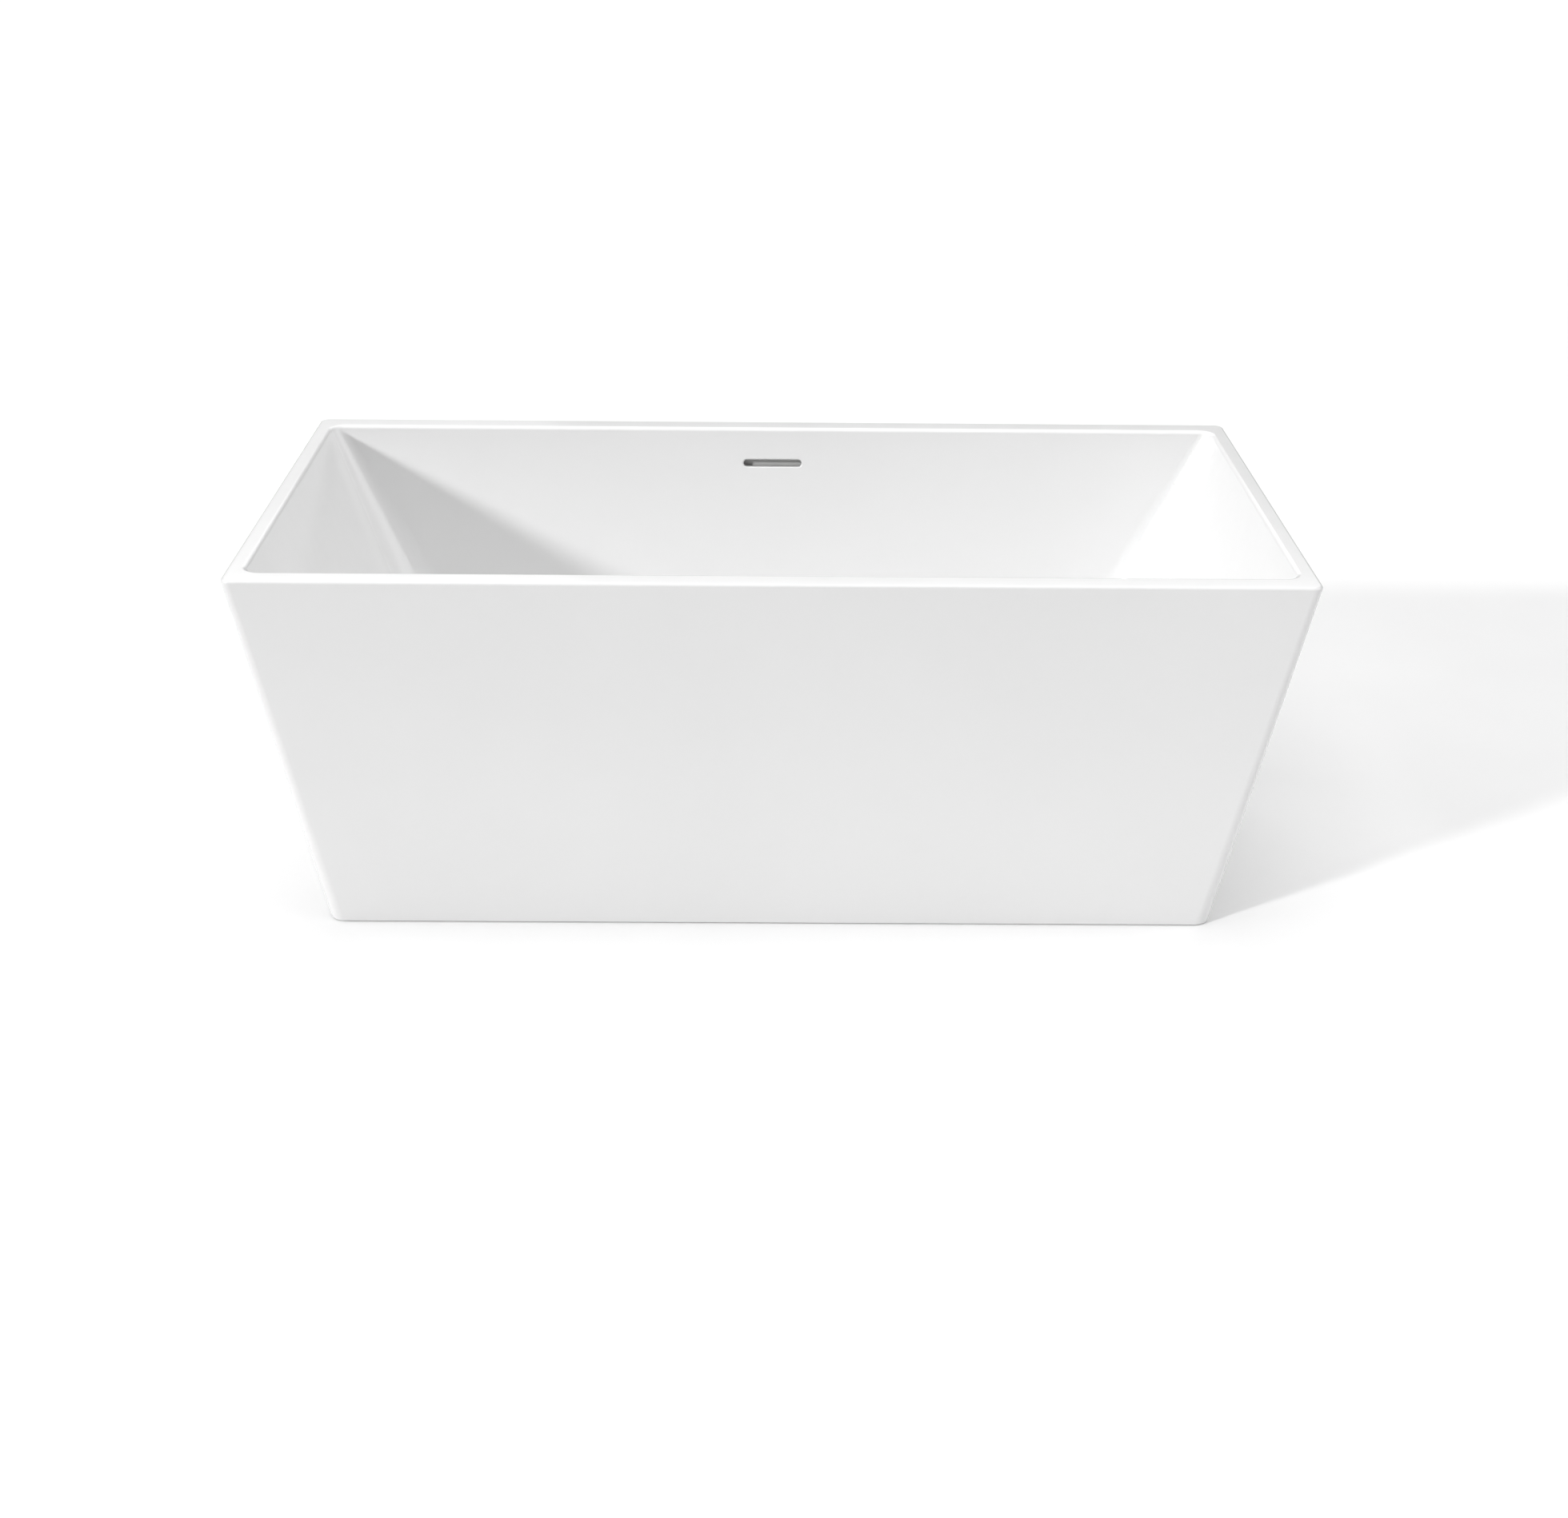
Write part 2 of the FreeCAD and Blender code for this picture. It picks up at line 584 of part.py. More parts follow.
# ---- drain ---------------------------------------------------------------------------------------
def drain_body():
    """Flange, threaded tail and the three-spoke hub that carries the stopper cartridge."""
    low = FLOOR_TOP + SEAL_UPPER
    high = low + FLANGE_HEIGHT
    body = turned([
        (TAIL_BORE, TAIL_END), (TAIL_R, TAIL_END), (TAIL_R, low), (FLANGE_R, low),
        (FLANGE_R, low + FLANGE_EDGE), (FLANGE_R - FLANGE_BEVEL, high),
        (TAIL_BORE + SEAT_DEPTH, high), (TAIL_BORE, high - SEAT_DEPTH),
    ], y=DRAIN_Y)
    hub_top = HUB_Z + HUB_HEIGHT
    parts = [cylinder(CARTRIDGE_R, HUB_Z, hub_top, y=DRAIN_Y)]
    for turn in (90, 210, 330):
        spoke = box(0, TAIL_BORE + 1, -SPOKE_HALF_WIDTH, SPOKE_HALF_WIDTH, HUB_Z, hub_top)
        spoke.rotate(Vector(0, 0, 0), Vector(0, 0, 1), turn)
        spoke.translate(Vector(0, DRAIN_Y, 0))
        parts.append(spoke)
    for part in parts:
        body = body.fuse(part)
    return one_solid(body.cut(cylinder(STEM_R + THREAD_GAP, 0, HUB_Z + BEYOND, y=DRAIN_Y)))


def drain_seal_upper():
    return ring(FLANGE_R - 1, TAIL_R + THREAD_GAP, FLOOR_TOP, FLOOR_TOP + SEAL_UPPER, y=DRAIN_Y)


def drain_seal_lower():
    return ring(FLANGE_R + 2, TAIL_R + THREAD_GAP, FLOOR_UNDER - SEAL_LOWER, FLOOR_UNDER, y=DRAIN_Y)


def drain_locknut():
    top = FLOOR_UNDER - SEAL_LOWER
    nut = prism(8, 2 * FLANGE_R, top - LOCKNUT_HEIGHT, top, y=DRAIN_Y)
    return nut.cut(cylinder(TAIL_R + THREAD_GAP, 0, HEIGHT, y=DRAIN_Y))


def waste_tee():
    """Upright pipe fitting under the drain, with a side spigot for the overflow hose."""
    body = cylinder(TEE_R, TEE_BOTTOM, TEE_TOP, y=DRAIN_Y)
    spigot_end = TEE_R + HOSE_END_GAP + SPIGOT_LENGTH
    spigot = Part.makeCylinder(SPIGOT_R, spigot_end, Vector(0, DRAIN_Y, BRANCH_Z), Vector(0, 1, 0))
    branch = Part.makeCylinder(SPIGOT_BORE, 2 * TEE_R + SPIGOT_LENGTH, Vector(0, DRAIN_Y, BRANCH_Z),
                               Vector(0, 1, 0))
    body = body.fuse(spigot).cut(branch)
    body = body.cut(cylinder(TAIL_BORE, TEE_BOTTOM - BEYOND, TEE_TOP + BEYOND, y=DRAIN_Y))
    body = body.cut(cylinder(TAIL_R + THREAD_GAP, TAIL_END, TEE_TOP + BEYOND, y=DRAIN_Y))
    socket = cylinder(TAILPIECE_NECK_R + THREAD_GAP, TEE_BOTTOM - BEYOND, TAILPIECE_TOP, y=DRAIN_Y)
    return one_solid(body.cut(socket))


def waste_tailpiece():
    """Stub pipe with a thick free end for the waste pipe and a thinner neck up inside the tee."""
    end = ring(TAILPIECE_R, TAILPIECE_BORE, TAILPIECE_END, TAILPIECE_SHOULDER, y=DRAIN_Y)
    neck = ring(TAILPIECE_NECK_R, TAILPIECE_BORE, TAILPIECE_SHOULDER, TAILPIECE_TOP, y=DRAIN_Y)
    return one_solid(end.fuse(neck))


def waste_slip_washer():
    inner = TAILPIECE_NECK_R + THREAD_GAP
    return ring(TEE_R, inner, TEE_BOTTOM - SLIP_WASHER, TEE_BOTTOM, y=DRAIN_Y)


def waste_slip_nut():
    """Ribbed nut that squeezes the washer between the tee and the tailpiece."""
    low = TEE_BOTTOM - SLIP_WASHER - SLIP_NUT_LIP
    nut = prism(SLIP_NUT_SIDES, 2 * SLIP_NUT_R, low, TEE_BOTTOM + SLIP_NUT_GRIP, y=DRAIN_Y)
    nut = nut.cut(cylinder(TEE_R + THREAD_GAP, low + SLIP_NUT_LIP, HEIGHT, y=DRAIN_Y))
    return nut.cut(cylinder(TAILPIECE_NECK_R + THREAD_GAP, 0, HEIGHT, y=DRAIN_Y))


# ---- stopper -------------------------------------------------------------------------------------
def stopper_cap():
    edge_top = CAP_Z + CAP_EDGE
    return turned([
        (0, CAP_Z), (CAP_R - CAP_BEVEL, CAP_Z), (CAP_R, CAP_Z + CAP_BEVEL),
        (CAP_R, edge_top - CAP_SHOULDER / 2), (CAP_R - CAP_SHOULDER, edge_top),
        (CAP_R / 2, edge_top + 0.75 * CAP_DOME), (0, edge_top + CAP_DOME),
    ], y=DRAIN_Y)


def stopper_seal():
    """Rubber ring under the cap, tapered like the seat it closes against."""
    low = CAP_Z - CAP_SEAL_HEIGHT
    return turned([
        (CAP_SEAL_BORE, low), (CAP_SEAL_FOOT_R, low), (CAP_SEAL_TOP_R, CAP_Z), (CAP_SEAL_BORE, CAP_Z),
    ], y=DRAIN_Y)


def stopper_stem():
    return cylinder(STEM_R, STEM_END, CAP_Z, y=DRAIN_Y)


def stopper_cartridge():
    """Latch cartridge that guides the stem, screwed into the drain's hub."""
    low = HUB_Z + HUB_HEIGHT
    sleeve = ring(CARTRIDGE_R, STEM_R + STEM_FIT, low, CARTRIDGE_TOP, y=DRAIN_Y)
    plug = cylinder(CARTRIDGE_R, low, STEM_END - 1, y=DRAIN_Y)
    screw = cylinder(STEM_R, HUB_Z - CARTRIDGE_SCREW, low, y=DRAIN_Y)
    return sleeve.fuse(plug).fuse(screw).removeSplitter()


# ---- write every node ----------------------------------------------------------------------------
def nodes():
    made = {
        "basin_shell": basin_shell(),
        "basin_laminate": basin_laminate(),
        "apron_shell": apron_shell(),
        "apron_laminate": apron_laminate(),
        "rim_bond_bead": rim_bond_bead(),
        "base_board": base_board(),
        "frame_rail_front": frame_rail(-1),
        "frame_rail_rear": frame_rail(1),
        "frame_screws": frame_screws(),
        "foot_brackets": foot_brackets(),
        "foot_weld_nuts": hex_nuts(RAIL_BOTTOM),
        "foot_lock_nuts": hex_nuts(RAIL_BOTTOM - NUT_HEIGHT),
        "apron_brackets": apron_brackets(),
        "apron_screws": apron_screws(),
        "overflow_liner": overflow_liner(),
        "overflow_gasket": overflow_gasket(),
        "overflow_box": overflow_box(),
        "overflow_hose": overflow_hose(),
        "hose_clamps": hose_clamps(),
        "drain_body": drain_body(),
        "drain_seal_upper": drain_seal_upper(),
        "drain_seal_lower": drain_seal_lower(),
        "drain_locknut": drain_locknut(),
        "waste_tee": waste_tee(),
        "waste_tailpiece": waste_tailpiece(),
        "waste_slip_washer": waste_slip_washer(),
        "waste_slip_nut": waste_slip_nut(),
        "stopper_cap": stopper_cap(),
        "stopper_seal": stopper_seal(),
        "stopper_stem": stopper_stem(),
        "stopper_cartridge": stopper_cartridge(),
    }
    for name, x in CROSS_X.items():
        made[f"frame_cross_{name}"] = frame_cross(x)
    for number, (x, y) in feet():
        made[f"foot_stud_{number}"] = foot_stud(x, y)
        made[f"foot_pad_{number}"] = foot_pad(x, y)
    return made


os.makedirs("parts", exist_ok=True)
for node, shape in nodes().items():
    shape.exportStep(f"parts/{node}.step")
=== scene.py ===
"""Looks for the freestanding bathtub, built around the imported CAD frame."""
import json
import math

import bmesh
import bpy
from mathutils import Matrix, Vector


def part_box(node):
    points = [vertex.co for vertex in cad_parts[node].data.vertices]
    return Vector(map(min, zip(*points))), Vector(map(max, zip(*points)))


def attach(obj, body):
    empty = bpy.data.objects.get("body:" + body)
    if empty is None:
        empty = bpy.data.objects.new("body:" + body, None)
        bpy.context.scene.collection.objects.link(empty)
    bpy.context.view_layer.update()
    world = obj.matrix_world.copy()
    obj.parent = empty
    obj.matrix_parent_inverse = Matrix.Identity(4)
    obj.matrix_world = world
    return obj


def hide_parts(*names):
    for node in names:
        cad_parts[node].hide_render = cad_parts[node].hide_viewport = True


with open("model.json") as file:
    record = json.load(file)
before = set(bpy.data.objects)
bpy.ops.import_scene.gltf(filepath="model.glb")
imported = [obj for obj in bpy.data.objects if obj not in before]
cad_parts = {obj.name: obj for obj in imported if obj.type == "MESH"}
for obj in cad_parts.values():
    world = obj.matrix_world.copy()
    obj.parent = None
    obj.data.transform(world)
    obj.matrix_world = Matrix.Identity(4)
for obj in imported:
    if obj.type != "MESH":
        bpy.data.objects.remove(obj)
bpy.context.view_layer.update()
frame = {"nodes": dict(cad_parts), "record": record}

ALONG = Vector((1, 0, 0))   # the tub's length
ACROSS = Vector((0, 1, 0))  # its width, towards the overflow
UPWARD = Vector((0, 0, 1))
SLOTS = {part["node"]: part["material_slot"] for part in frame["record"]["subparts"]}

# ---- studio --------------------------------------------------------------------------------------
CAMERA_PLACE = Vector((-0.009, -3.0987, 1.6369))
CAMERA_PITCH = math.radians(25.833)
CAMERA_YAW = math.radians(0.553)
CAMERA_ROLL = math.radians(0.567)
CAMERA_LENS = 49.40
FLOOR_SIZE = 22.0
FADE_START = 2.8            # metres from the tub's middle
FADE_END = 5.5
HALF_HEIGHT = 0.3           # the height that the softboxes aim at
SOFTBOX_AWAY = 10.0


def make_camera():
    """A camera looking down at the front panel, almost square on."""
    level = math.cos(CAMERA_PITCH)
    forward = Vector((
        math.sin(CAMERA_YAW) * level, math.cos(CAMERA_YAW) * level, -math.sin(CAMERA_PITCH)))
    right = Vector((math.cos(CAMERA_YAW), -math.sin(CAMERA_YAW), 0))
    upward = right.cross(forward)
    rolled_right = math.cos(CAMERA_ROLL) * right + math.sin(CAMERA_ROLL) * upward
    rolled_up = math.cos(CAMERA_ROLL) * upward - math.sin(CAMERA_ROLL) * right
    turn = Matrix((rolled_right, rolled_up, -forward)).transposed()
    camera = bpy.data.objects.new("camera", bpy.data.cameras.new("camera"))
    camera.matrix_world = Matrix.Translation(CAMERA_PLACE) @ turn.to_4x4()
    camera.data.lens = CAMERA_LENS
    camera.data.clip_end = 4 * FLOOR_SIZE
    bpy.context.scene.collection.objects.link(camera)
    bpy.context.scene.camera = camera


def make_softbox(name, place, aim, size, power):
    """A square area light at a place, shining along aim."""
    light = bpy.data.lights.new(name, "AREA")
    light.shape = "SQUARE"
    light.size = size
    light.energy = power
    lamp = bpy.data.objects.new(name, light)
    lamp.location = place
    lamp.rotation_euler = (-aim).to_track_quat("Z", "Y").to_euler()
    bpy.context.scene.collection.objects.link(lamp)


def aim_softbox(name, direction, size, power):
    """A square area light that hangs in a direction from the tub and faces it."""
    away = Vector(direction).normalized()
    make_softbox(name, away * SOFTBOX_AWAY + HALF_HEIGHT * UPWARD, -away, size, power)


def make_sun(name, direction, angle, strength):
    """A far key light in a direction from the tub; angle is how wide it looks from there."""
    light = bpy.data.lights.new(name, "SUN")
    light.angle = angle
    light.energy = strength
    lamp = bpy.data.objects.new(name, light)
    lamp.rotation_euler = Vector(direction).to_track_quat("Z", "Y").to_euler()
    bpy.context.scene.collection.objects.link(lamp)


def make_world(glow, backdrop):
    """A white surround: backdrop is how bright it looks, glow how brightly it lights the tub."""
    world = bpy.data.worlds.new("studio")
    world.use_nodes = True
    nodes = world.node_tree.nodes
    seen = nodes.new("ShaderNodeBackground")
    seen.inputs["Strength"].default_value = backdrop
    seen.inputs["Color"].default_value = (1, 1, 1, 1)
    nodes["Background"].inputs["Color"].default_value = (1, 1, 1, 1)
    nodes["Background"].inputs["Strength"].default_value = glow
    ray = nodes.new("ShaderNodeLightPath")
    mix = nodes.new("ShaderNodeMixShader")
    links = world.node_tree.links
    links.new(ray.outputs["Is Camera Ray"], mix.inputs["Fac"])
    links.new(nodes["Background"].outputs["Background"], mix.inputs[1])
    links.new(seen.outputs["Background"], mix.inputs[2])
    links.new(mix.outputs["Shader"], nodes["World Output"].inputs["Surface"])
    bpy.context.scene.world = world


def make_floor():
    """The level sheet that the tub stands on."""
    mesh = bpy.data.meshes.new("floor")
    half = FLOOR_SIZE / 2
    mesh.from_pydata(
        [(-half, -half, 0), (half, -half, 0), (half, half, 0), (-half, half, 0)], [], [(0, 1, 2, 3)])
    floor = bpy.data.objects.new("floor", mesh)
    bpy.context.scene.collection.objects.link(floor)
    floor.data.materials.append(floor_material())


def light_studio():
    """A key from the front left, soft light all round; strengths fitted to tones, then set one by one."""
    make_sun("key", (-1, -0.75, 0.548), math.radians(5.5), 1.75)
    aim_softbox("top", (0, -0.16, 1), 9.0, 535)
    aim_softbox("left", (-1, 0, 0.8), 8.0, 280)
    aim_softbox("right", (1, -0.1, 0.5), 8.0, 385)
    aim_softbox("front", (0, -1, 2), 8.0, 130)
    aim_softbox("back", (0, 1, 1), 8.0, 295)
    aim_softbox("rim", (-0.3, 1, 0.36), 3.0, 11)


# ---- materials ------------------------------------------------------------------------------------
def surface(name, metallic=0.0, ior=1.5, **inputs):
    """A material with one Principled shader; inputs are set straight on its sockets."""
    material = bpy.data.materials.new(name)
    material.use_nodes = True
    shader = material.node_tree.nodes["Principled BSDF"]
    shader.inputs["Metallic"].default_value = metallic
    shader.inputs["IOR"].default_value = ior
    for key, value in inputs.items():
        shader.inputs[key.replace("_", " ")].default_value = value
    return material


def add(material, kind, **inputs):
    """A new shader node of that kind; inputs are set straight on its sockets."""
    node = material.node_tree.nodes.new(kind)
    for key, value in inputs.items():
        node.inputs[key.replace("_", " ")].default_value = value
    return node


def noise(material, scale, detail=3.0, stretch=(1, 1, 1)):
    """Noise in the object's own metres, repeating about scale times a metre; gives its value."""
    place = add(material, "ShaderNodeTexCoord")
    mapping = add(material, "ShaderNodeMapping", Scale=stretch)
    texture = add(material, "ShaderNodeTexNoise", Scale=scale, Detail=detail)
    links = material.node_tree.links
    links.new(place.outputs["Object"], mapping.inputs["Vector"])
    links.new(mapping.outputs["Vector"], texture.inputs["Vector"])
    return texture.outputs["Fac"]


def ramp(material, value, low, high, start=0.3, end=0.7):
    """Maps a value onto colours or grey levels between low and high."""
    node = add(material, "ShaderNodeValToRGB")
    for element, place, shade in zip(node.color_ramp.elements, (start, end), (low, high)):
        element.position = place
        element.color = (*shade, 1) if isinstance(shade, tuple) else (shade, shade, shade, 1)
    material.node_tree.links.new(value, node.inputs["Fac"])
    return node.outputs["Color"]


def plug(material, value, socket):
    """Leads a value into one of the Principled shader's sockets."""
    material.node_tree.links.new(value, material.node_tree.nodes["Principled BSDF"].inputs[socket])


def bump(material, value, depth, strength=1.0):
    """Raises the surface by up to depth metres where value is high."""
    node = add(material, "ShaderNodeBump", Strength=strength, Distance=depth)
    material.node_tree.links.new(value, node.inputs["Height"])
    plug(material, node.outputs["Normal"], "Normal")


def acrylic_white():
    material = surface("acrylic_white", Coat_Weight=0.25, Coat_Roughness=0.05)
    plug(material, ramp(material, noise(material, 3), (0.80, 0.80, 0.80), (0.815, 0.815, 0.815)),
         "Base Color")
    plug(material, ramp(material, noise(material, 25, 5), 0.12, 0.2), "Roughness")
    bump(material, noise(material, 14, 2), 0.0003)
    return material


def glass_fibre():
    """Resin-soaked chopped strand: short pale threads in every direction."""
    material = surface("glass_fibre")
    strands = noise(material, 90, 8, (1, 6, 1))
    plug(material, ramp(material, strands, (0.50, 0.48, 0.36), (0.78, 0.76, 0.64)), "Base Color")
    plug(material, ramp(material, strands, 0.35, 0.7), "Roughness")
    bump(material, strands, 0.0008)
    return material


def plywood():
    material = surface("plywood")
    grain = noise(material, 40, 8, (0.1, 1, 3))
    plug(material, ramp(material, grain, (0.36, 0.22, 0.11), (0.62, 0.44, 0.27)), "Base Color")
    plug(material, ramp(material, grain, 0.55, 0.8), "Roughness")
    bump(material, grain, 0.0004)
    return material


def frame_paint():
    material = surface("frame_paint", Coat_Weight=0.1)
    grain = noise(material, 700, 3)
    plug(material, ramp(material, grain, (0.022, 0.024, 0.026), (0.034, 0.036, 0.039)), "Base Color")
    plug(material, ramp(material, noise(material, 60), 0.38, 0.55), "Roughness")
    bump(material, grain, 0.0001)
    return material


def metal(name, low, high, rough_low, rough_high, scale=150, stretch=(1, 1, 1)):
    """Metal whose colour and roughness wander with its grain."""
    material = surface(name, metallic=1.0)
    grain = noise(material, scale, 5, stretch)
    plug(material, ramp(material, grain, low, high), "Base Color")
    plug(material, ramp(material, grain, rough_low, rough_high), "Roughness")
    bump(material, grain, 0.00003)
    return material


def plastic(name, low, high, rough_low=0.35, rough_high=0.5, scale=500):
    """Moulded plastic or rubber with a fine pebbled skin."""
    material = surface(name)
    grain = noise(material, scale, 3)
    plug(material, ramp(material, noise(material, 30), low, high), "Base Color")
    plug(material, ramp(material, grain, rough_low, rough_high), "Roughness")
    bump(material, grain, 0.00006)
    return material


def floor_material():
    """Pale matt floor that fades out into the white surround away from the tub."""
    material = surface("studio_floor", Emission_Color=(1, 1, 1, 1), Emission_Strength=0.045)
    plug(material, ramp(material, noise(material, 2), 0.87, 0.89), "Base Color")
    plug(material, ramp(material, noise(material, 8), 0.7, 0.8), "Roughness")
    nodes = material.node_tree.nodes
    links = material.node_tree.links
    place = nodes.new("ShaderNodeTexCoord")
    reach = nodes.new("ShaderNodeVectorMath")
    reach.operation = "LENGTH"
    fade = nodes.new("ShaderNodeMapRange")
    fade.interpolation_type = "SMOOTHSTEP"
    fade.inputs["From Min"].default_value = FADE_START
    fade.inputs["From Max"].default_value = FADE_END
    clear = nodes.new("ShaderNodeBsdfTransparent")
    mix = nodes.new("ShaderNodeMixShader")
    links.new(place.outputs["Object"], reach.inputs[0])
    links.new(reach.outputs["Value"], fade.inputs["Value"])
    links.new(fade.outputs["Result"], mix.inputs["Fac"])
    links.new(nodes["Principled BSDF"].outputs["BSDF"], mix.inputs[1])
    links.new(clear.outputs["BSDF"], mix.inputs[2])
    links.new(mix.outputs["Shader"], nodes["Material Output"].inputs["Surface"])
    return material


MATERIALS = {
    "acrylic_white": acrylic_white(),
    "glass_fibre": glass_fibre(),
    "adhesive": plastic("adhesive", (0.72, 0.71, 0.66), (0.78, 0.77, 0.72)),
    "plywood": plywood(),
    "frame_paint": frame_paint(),
    "zinc_steel": metal("zinc_steel", (0.50, 0.52, 0.54), (0.66, 0.67, 0.68), 0.25, 0.42),
    "liner_steel": metal(
        "liner_steel", (0.62, 0.62, 0.62), (0.74, 0.74, 0.74), 0.5, 0.6, 400, (0.1, 1, 1)),
    "chrome": metal("chrome", (0.82, 0.83, 0.85), (0.88, 0.88, 0.90), 0.04, 0.09, 40),
    "brass": metal("brass", (0.60, 0.43, 0.16), (0.70, 0.53, 0.24), 0.25, 0.4),
    "seal_rubber": plastic("seal_rubber", (0.02, 0.02, 0.02), (0.03, 0.03, 0.03), 0.6, 0.8),
    "foot_plastic": plastic("foot_plastic", (0.02, 0.02, 0.02), (0.032, 0.032, 0.032)),
    "fitting_plastic": plastic("fitting_plastic", (0.70, 0.70, 0.69), (0.76, 0.76, 0.75)),
    "hose_plastic": plastic("hose_plastic", (0.48, 0.49, 0.50), (0.56, 0.57, 0.58)),
}


def dress_cad_nodes():
    """Gives every carried-over CAD node the material its record slot names."""
    for name, node in frame["nodes"].items():
        for slot in node.material_slots:
            slot.material = MATERIALS[SLOTS[name]]


# ---- the double wall as smooth meshes ---------------------------------------------------------------
CORNER_STEPS = 20
ROUND_STEPS = 12
ACRYLIC = 0.004
WALL = 0.007
TAPER = 0.15                # outside panels
END_SLOPE = 0.42            # backrests
SIDE_SLOPE = 0.15           # long inner walls
RIM_END = 0.025
RIM_SIDE = 0.038
RIM_OUTER_ROUND = 0.0045
RIM_INNER_ROUND = 0.0075
BASE_ROUND = 0.0015
FLOOR_ROUND = 0.060
CORNER_TOP = 0.019
CORNER_FLOOR = 0.100
OUTER_CORNER_TOP = 0.015
OUTER_CORNER_BASE = 0.024
APRON_TOP_FLANGE = 0.015
APRON_BOTTOM_FLANGE = 0.025
SLOT_ROUND = 0.002

HALF_X, HALF_Y, RIM_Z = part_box("basin_shell")[1]
SEAM_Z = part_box("apron_shell")[1].z
BASE_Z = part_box("apron_shell")[0].z
FLOOR_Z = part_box("base_board")[1].z + WALL
WIDEST_Z = RIM_Z - RIM_OUTER_ROUND * (1 - math.sin(math.atan(TAPER)))
DRAIN = sum(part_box("drain_body"), Vector()) / 2
DRAIN_HOLE = 0.0245
LEAST_CORNER = 0.004        # the tightest plan corner an inset ring may have
SAME_POINT = 1e-6           # points nearer than this are merged


def corner_directions():
    """Round the tub once: each point's corner signs and its outward direction in plan."""
    for quarter, signs in enumerate(((1, 1), (-1, 1), (-1, -1), (1, -1))):
        for step in range(CORNER_STEPS + 1):
            angle = (quarter + step / CORNER_STEPS) * math.pi / 2
            yield signs, Vector((math.cos(angle), math.sin(angle), 0))


def outline(centre, u, v, half_u, half_v, radius):
    """Points round a rounded rectangle that lies in the plane of u and v."""
    return [
        centre + (su * (half_u - radius) + radius * out.x) * u
        + (sv * (half_v - radius) + radius * out.y) * v
        for (su, sv), out in corner_directions()
    ]


def flat_ring(half_x, half_y, radius, z):
    """A level rounded rectangle about the tub's middle."""
    return outline(Vector((0, 0, z)), ALONG, ACROSS, half_x, half_y, radius)


def outer_ring(inset, z):
    """The outside of the tub at one height, moved inward by inset."""
    lean = TAPER * (WIDEST_Z - z) + inset * math.hypot(1, TAPER)
    depth = (RIM_Z - z) / RIM_Z
    radius = OUTER_CORNER_TOP + (OUTER_CORNER_BASE - OUTER_CORNER_TOP) * depth
    return flat_ring(HALF_X - lean, HALF_Y - lean, max(radius - inset, LEAST_CORNER), z)


def outer_edge_round(radius, inset, z_centre, start, end):
    """Rings that roll round an outside edge; the angles are measured up from level."""
    centre = outer_ring(inset, z_centre)
    rings = []
    for step in range(ROUND_STEPS + 1):
        angle = start + (end - start) * step / ROUND_STEPS
        rings.append([
            point + radius * (math.cos(angle) * out + math.sin(angle) * UPWARD)
            for point, (_, out) in zip(centre, corner_directions())
        ])
    return rings


def basin_point(signs, out, grow, z):
    """A point on the inner wall at height z and the wall's slope there; grow moves it outward."""
    depth = RIM_Z - z
    widen = (CORNER_FLOOR - CORNER_TOP) / (RIM_Z - FLOOR_Z)
    radius = CORNER_TOP + widen * depth
    centre = Vector((
        signs[0] * (HALF_X - RIM_END - END_SLOPE * depth - radius),
        signs[1] * (HALF_Y - RIM_SIDE - SIDE_SLOPE * depth - radius), z))
    slope = abs(out.x) * (END_SLOPE + widen) + abs(out.y) * (SIDE_SLOPE + widen) - widen
    normal = (out - slope * UPWARD).normalized()
    return centre + radius * out + grow * normal, normal


def basin_wall_ring(grow, z):
    """The inner wall at height z, moved outward by grow."""
    ring = []
    for signs, out in corner_directions():
        slope_point, normal = basin_point(signs, out, grow, z)
        # slide along the wall so that the moved point is back at height z
        down = out * normal.z - UPWARD * math.hypot(normal.x, normal.y)
        ring.append(slope_point + down * ((slope_point.z - z) / -down.z))
    return ring


def basin_edge_round(radius, z_flat, grow, up):
    """Rings round the rim's inner edge (up) or round the floor's edge, from wall to flat."""
    rings = []
    for step in range(ROUND_STEPS + 1):
        ring = []
        for signs, out in corner_directions():
            _, normal = basin_point(signs, out, 0, z_flat)
            lean = math.asin(-normal.z)
            side = 1 if up else -1
            centre_z = z_flat - side * radius
            base, _ = basin_point(signs, out, 0, centre_z + side * radius * -normal.z - grow * -normal.z)
            centre = basin_point(signs, out, grow + side * radius, base.z)[0]
            centre.z = centre_z
            angle = lean + (math.pi / 2 - lean) * step / ROUND_STEPS
            ring.append(centre - side * radius * math.cos(angle) * out
                        + side * radius * math.sin(angle) * UPWARD)
        rings.append(ring)
    return rings


def drain_ring(like, radius, z):
    """A circle round the drain with a point towards each point of another ring."""
    ring = []
    for point in like:
        away = Vector((point.x - DRAIN.x, point.y - DRAIN.y, 0)).normalized()
        ring.append(Vector((DRAIN.x, DRAIN.y, z)) + radius * away)
    return ring


def skins_mesh(name, *skins, closed=True):
    """One mesh of several skins, each a list of rings of equally many points.

    Every ring is joined to the next. The last is joined to the first too, unless closed is false or
    the skin begins with a ring shrunk to a point.
    """
    points, faces = [], []
    for rings in skins:
        count = len(rings[0])
        start = len(points)
        points += [point for ring in rings for point in ring]
        pointed = (rings[0][0] - rings[0][1]).length == 0
        for row in range(len(rings) if closed and not pointed else len(rings) - 1):
            here = start + row * count
            there = start + (row + 1) % len(rings) * count
            for i in range(count):
                j = (i + 1) % count
                faces.append((here + i, here + j, there + j, there + i))
    mesh = bpy.data.meshes.new(name)
    mesh.from_pydata(points, [], faces)
    piece = bpy.data.objects.new(name, mesh)
    bpy.context.scene.collection.objects.link(piece)
    return piece


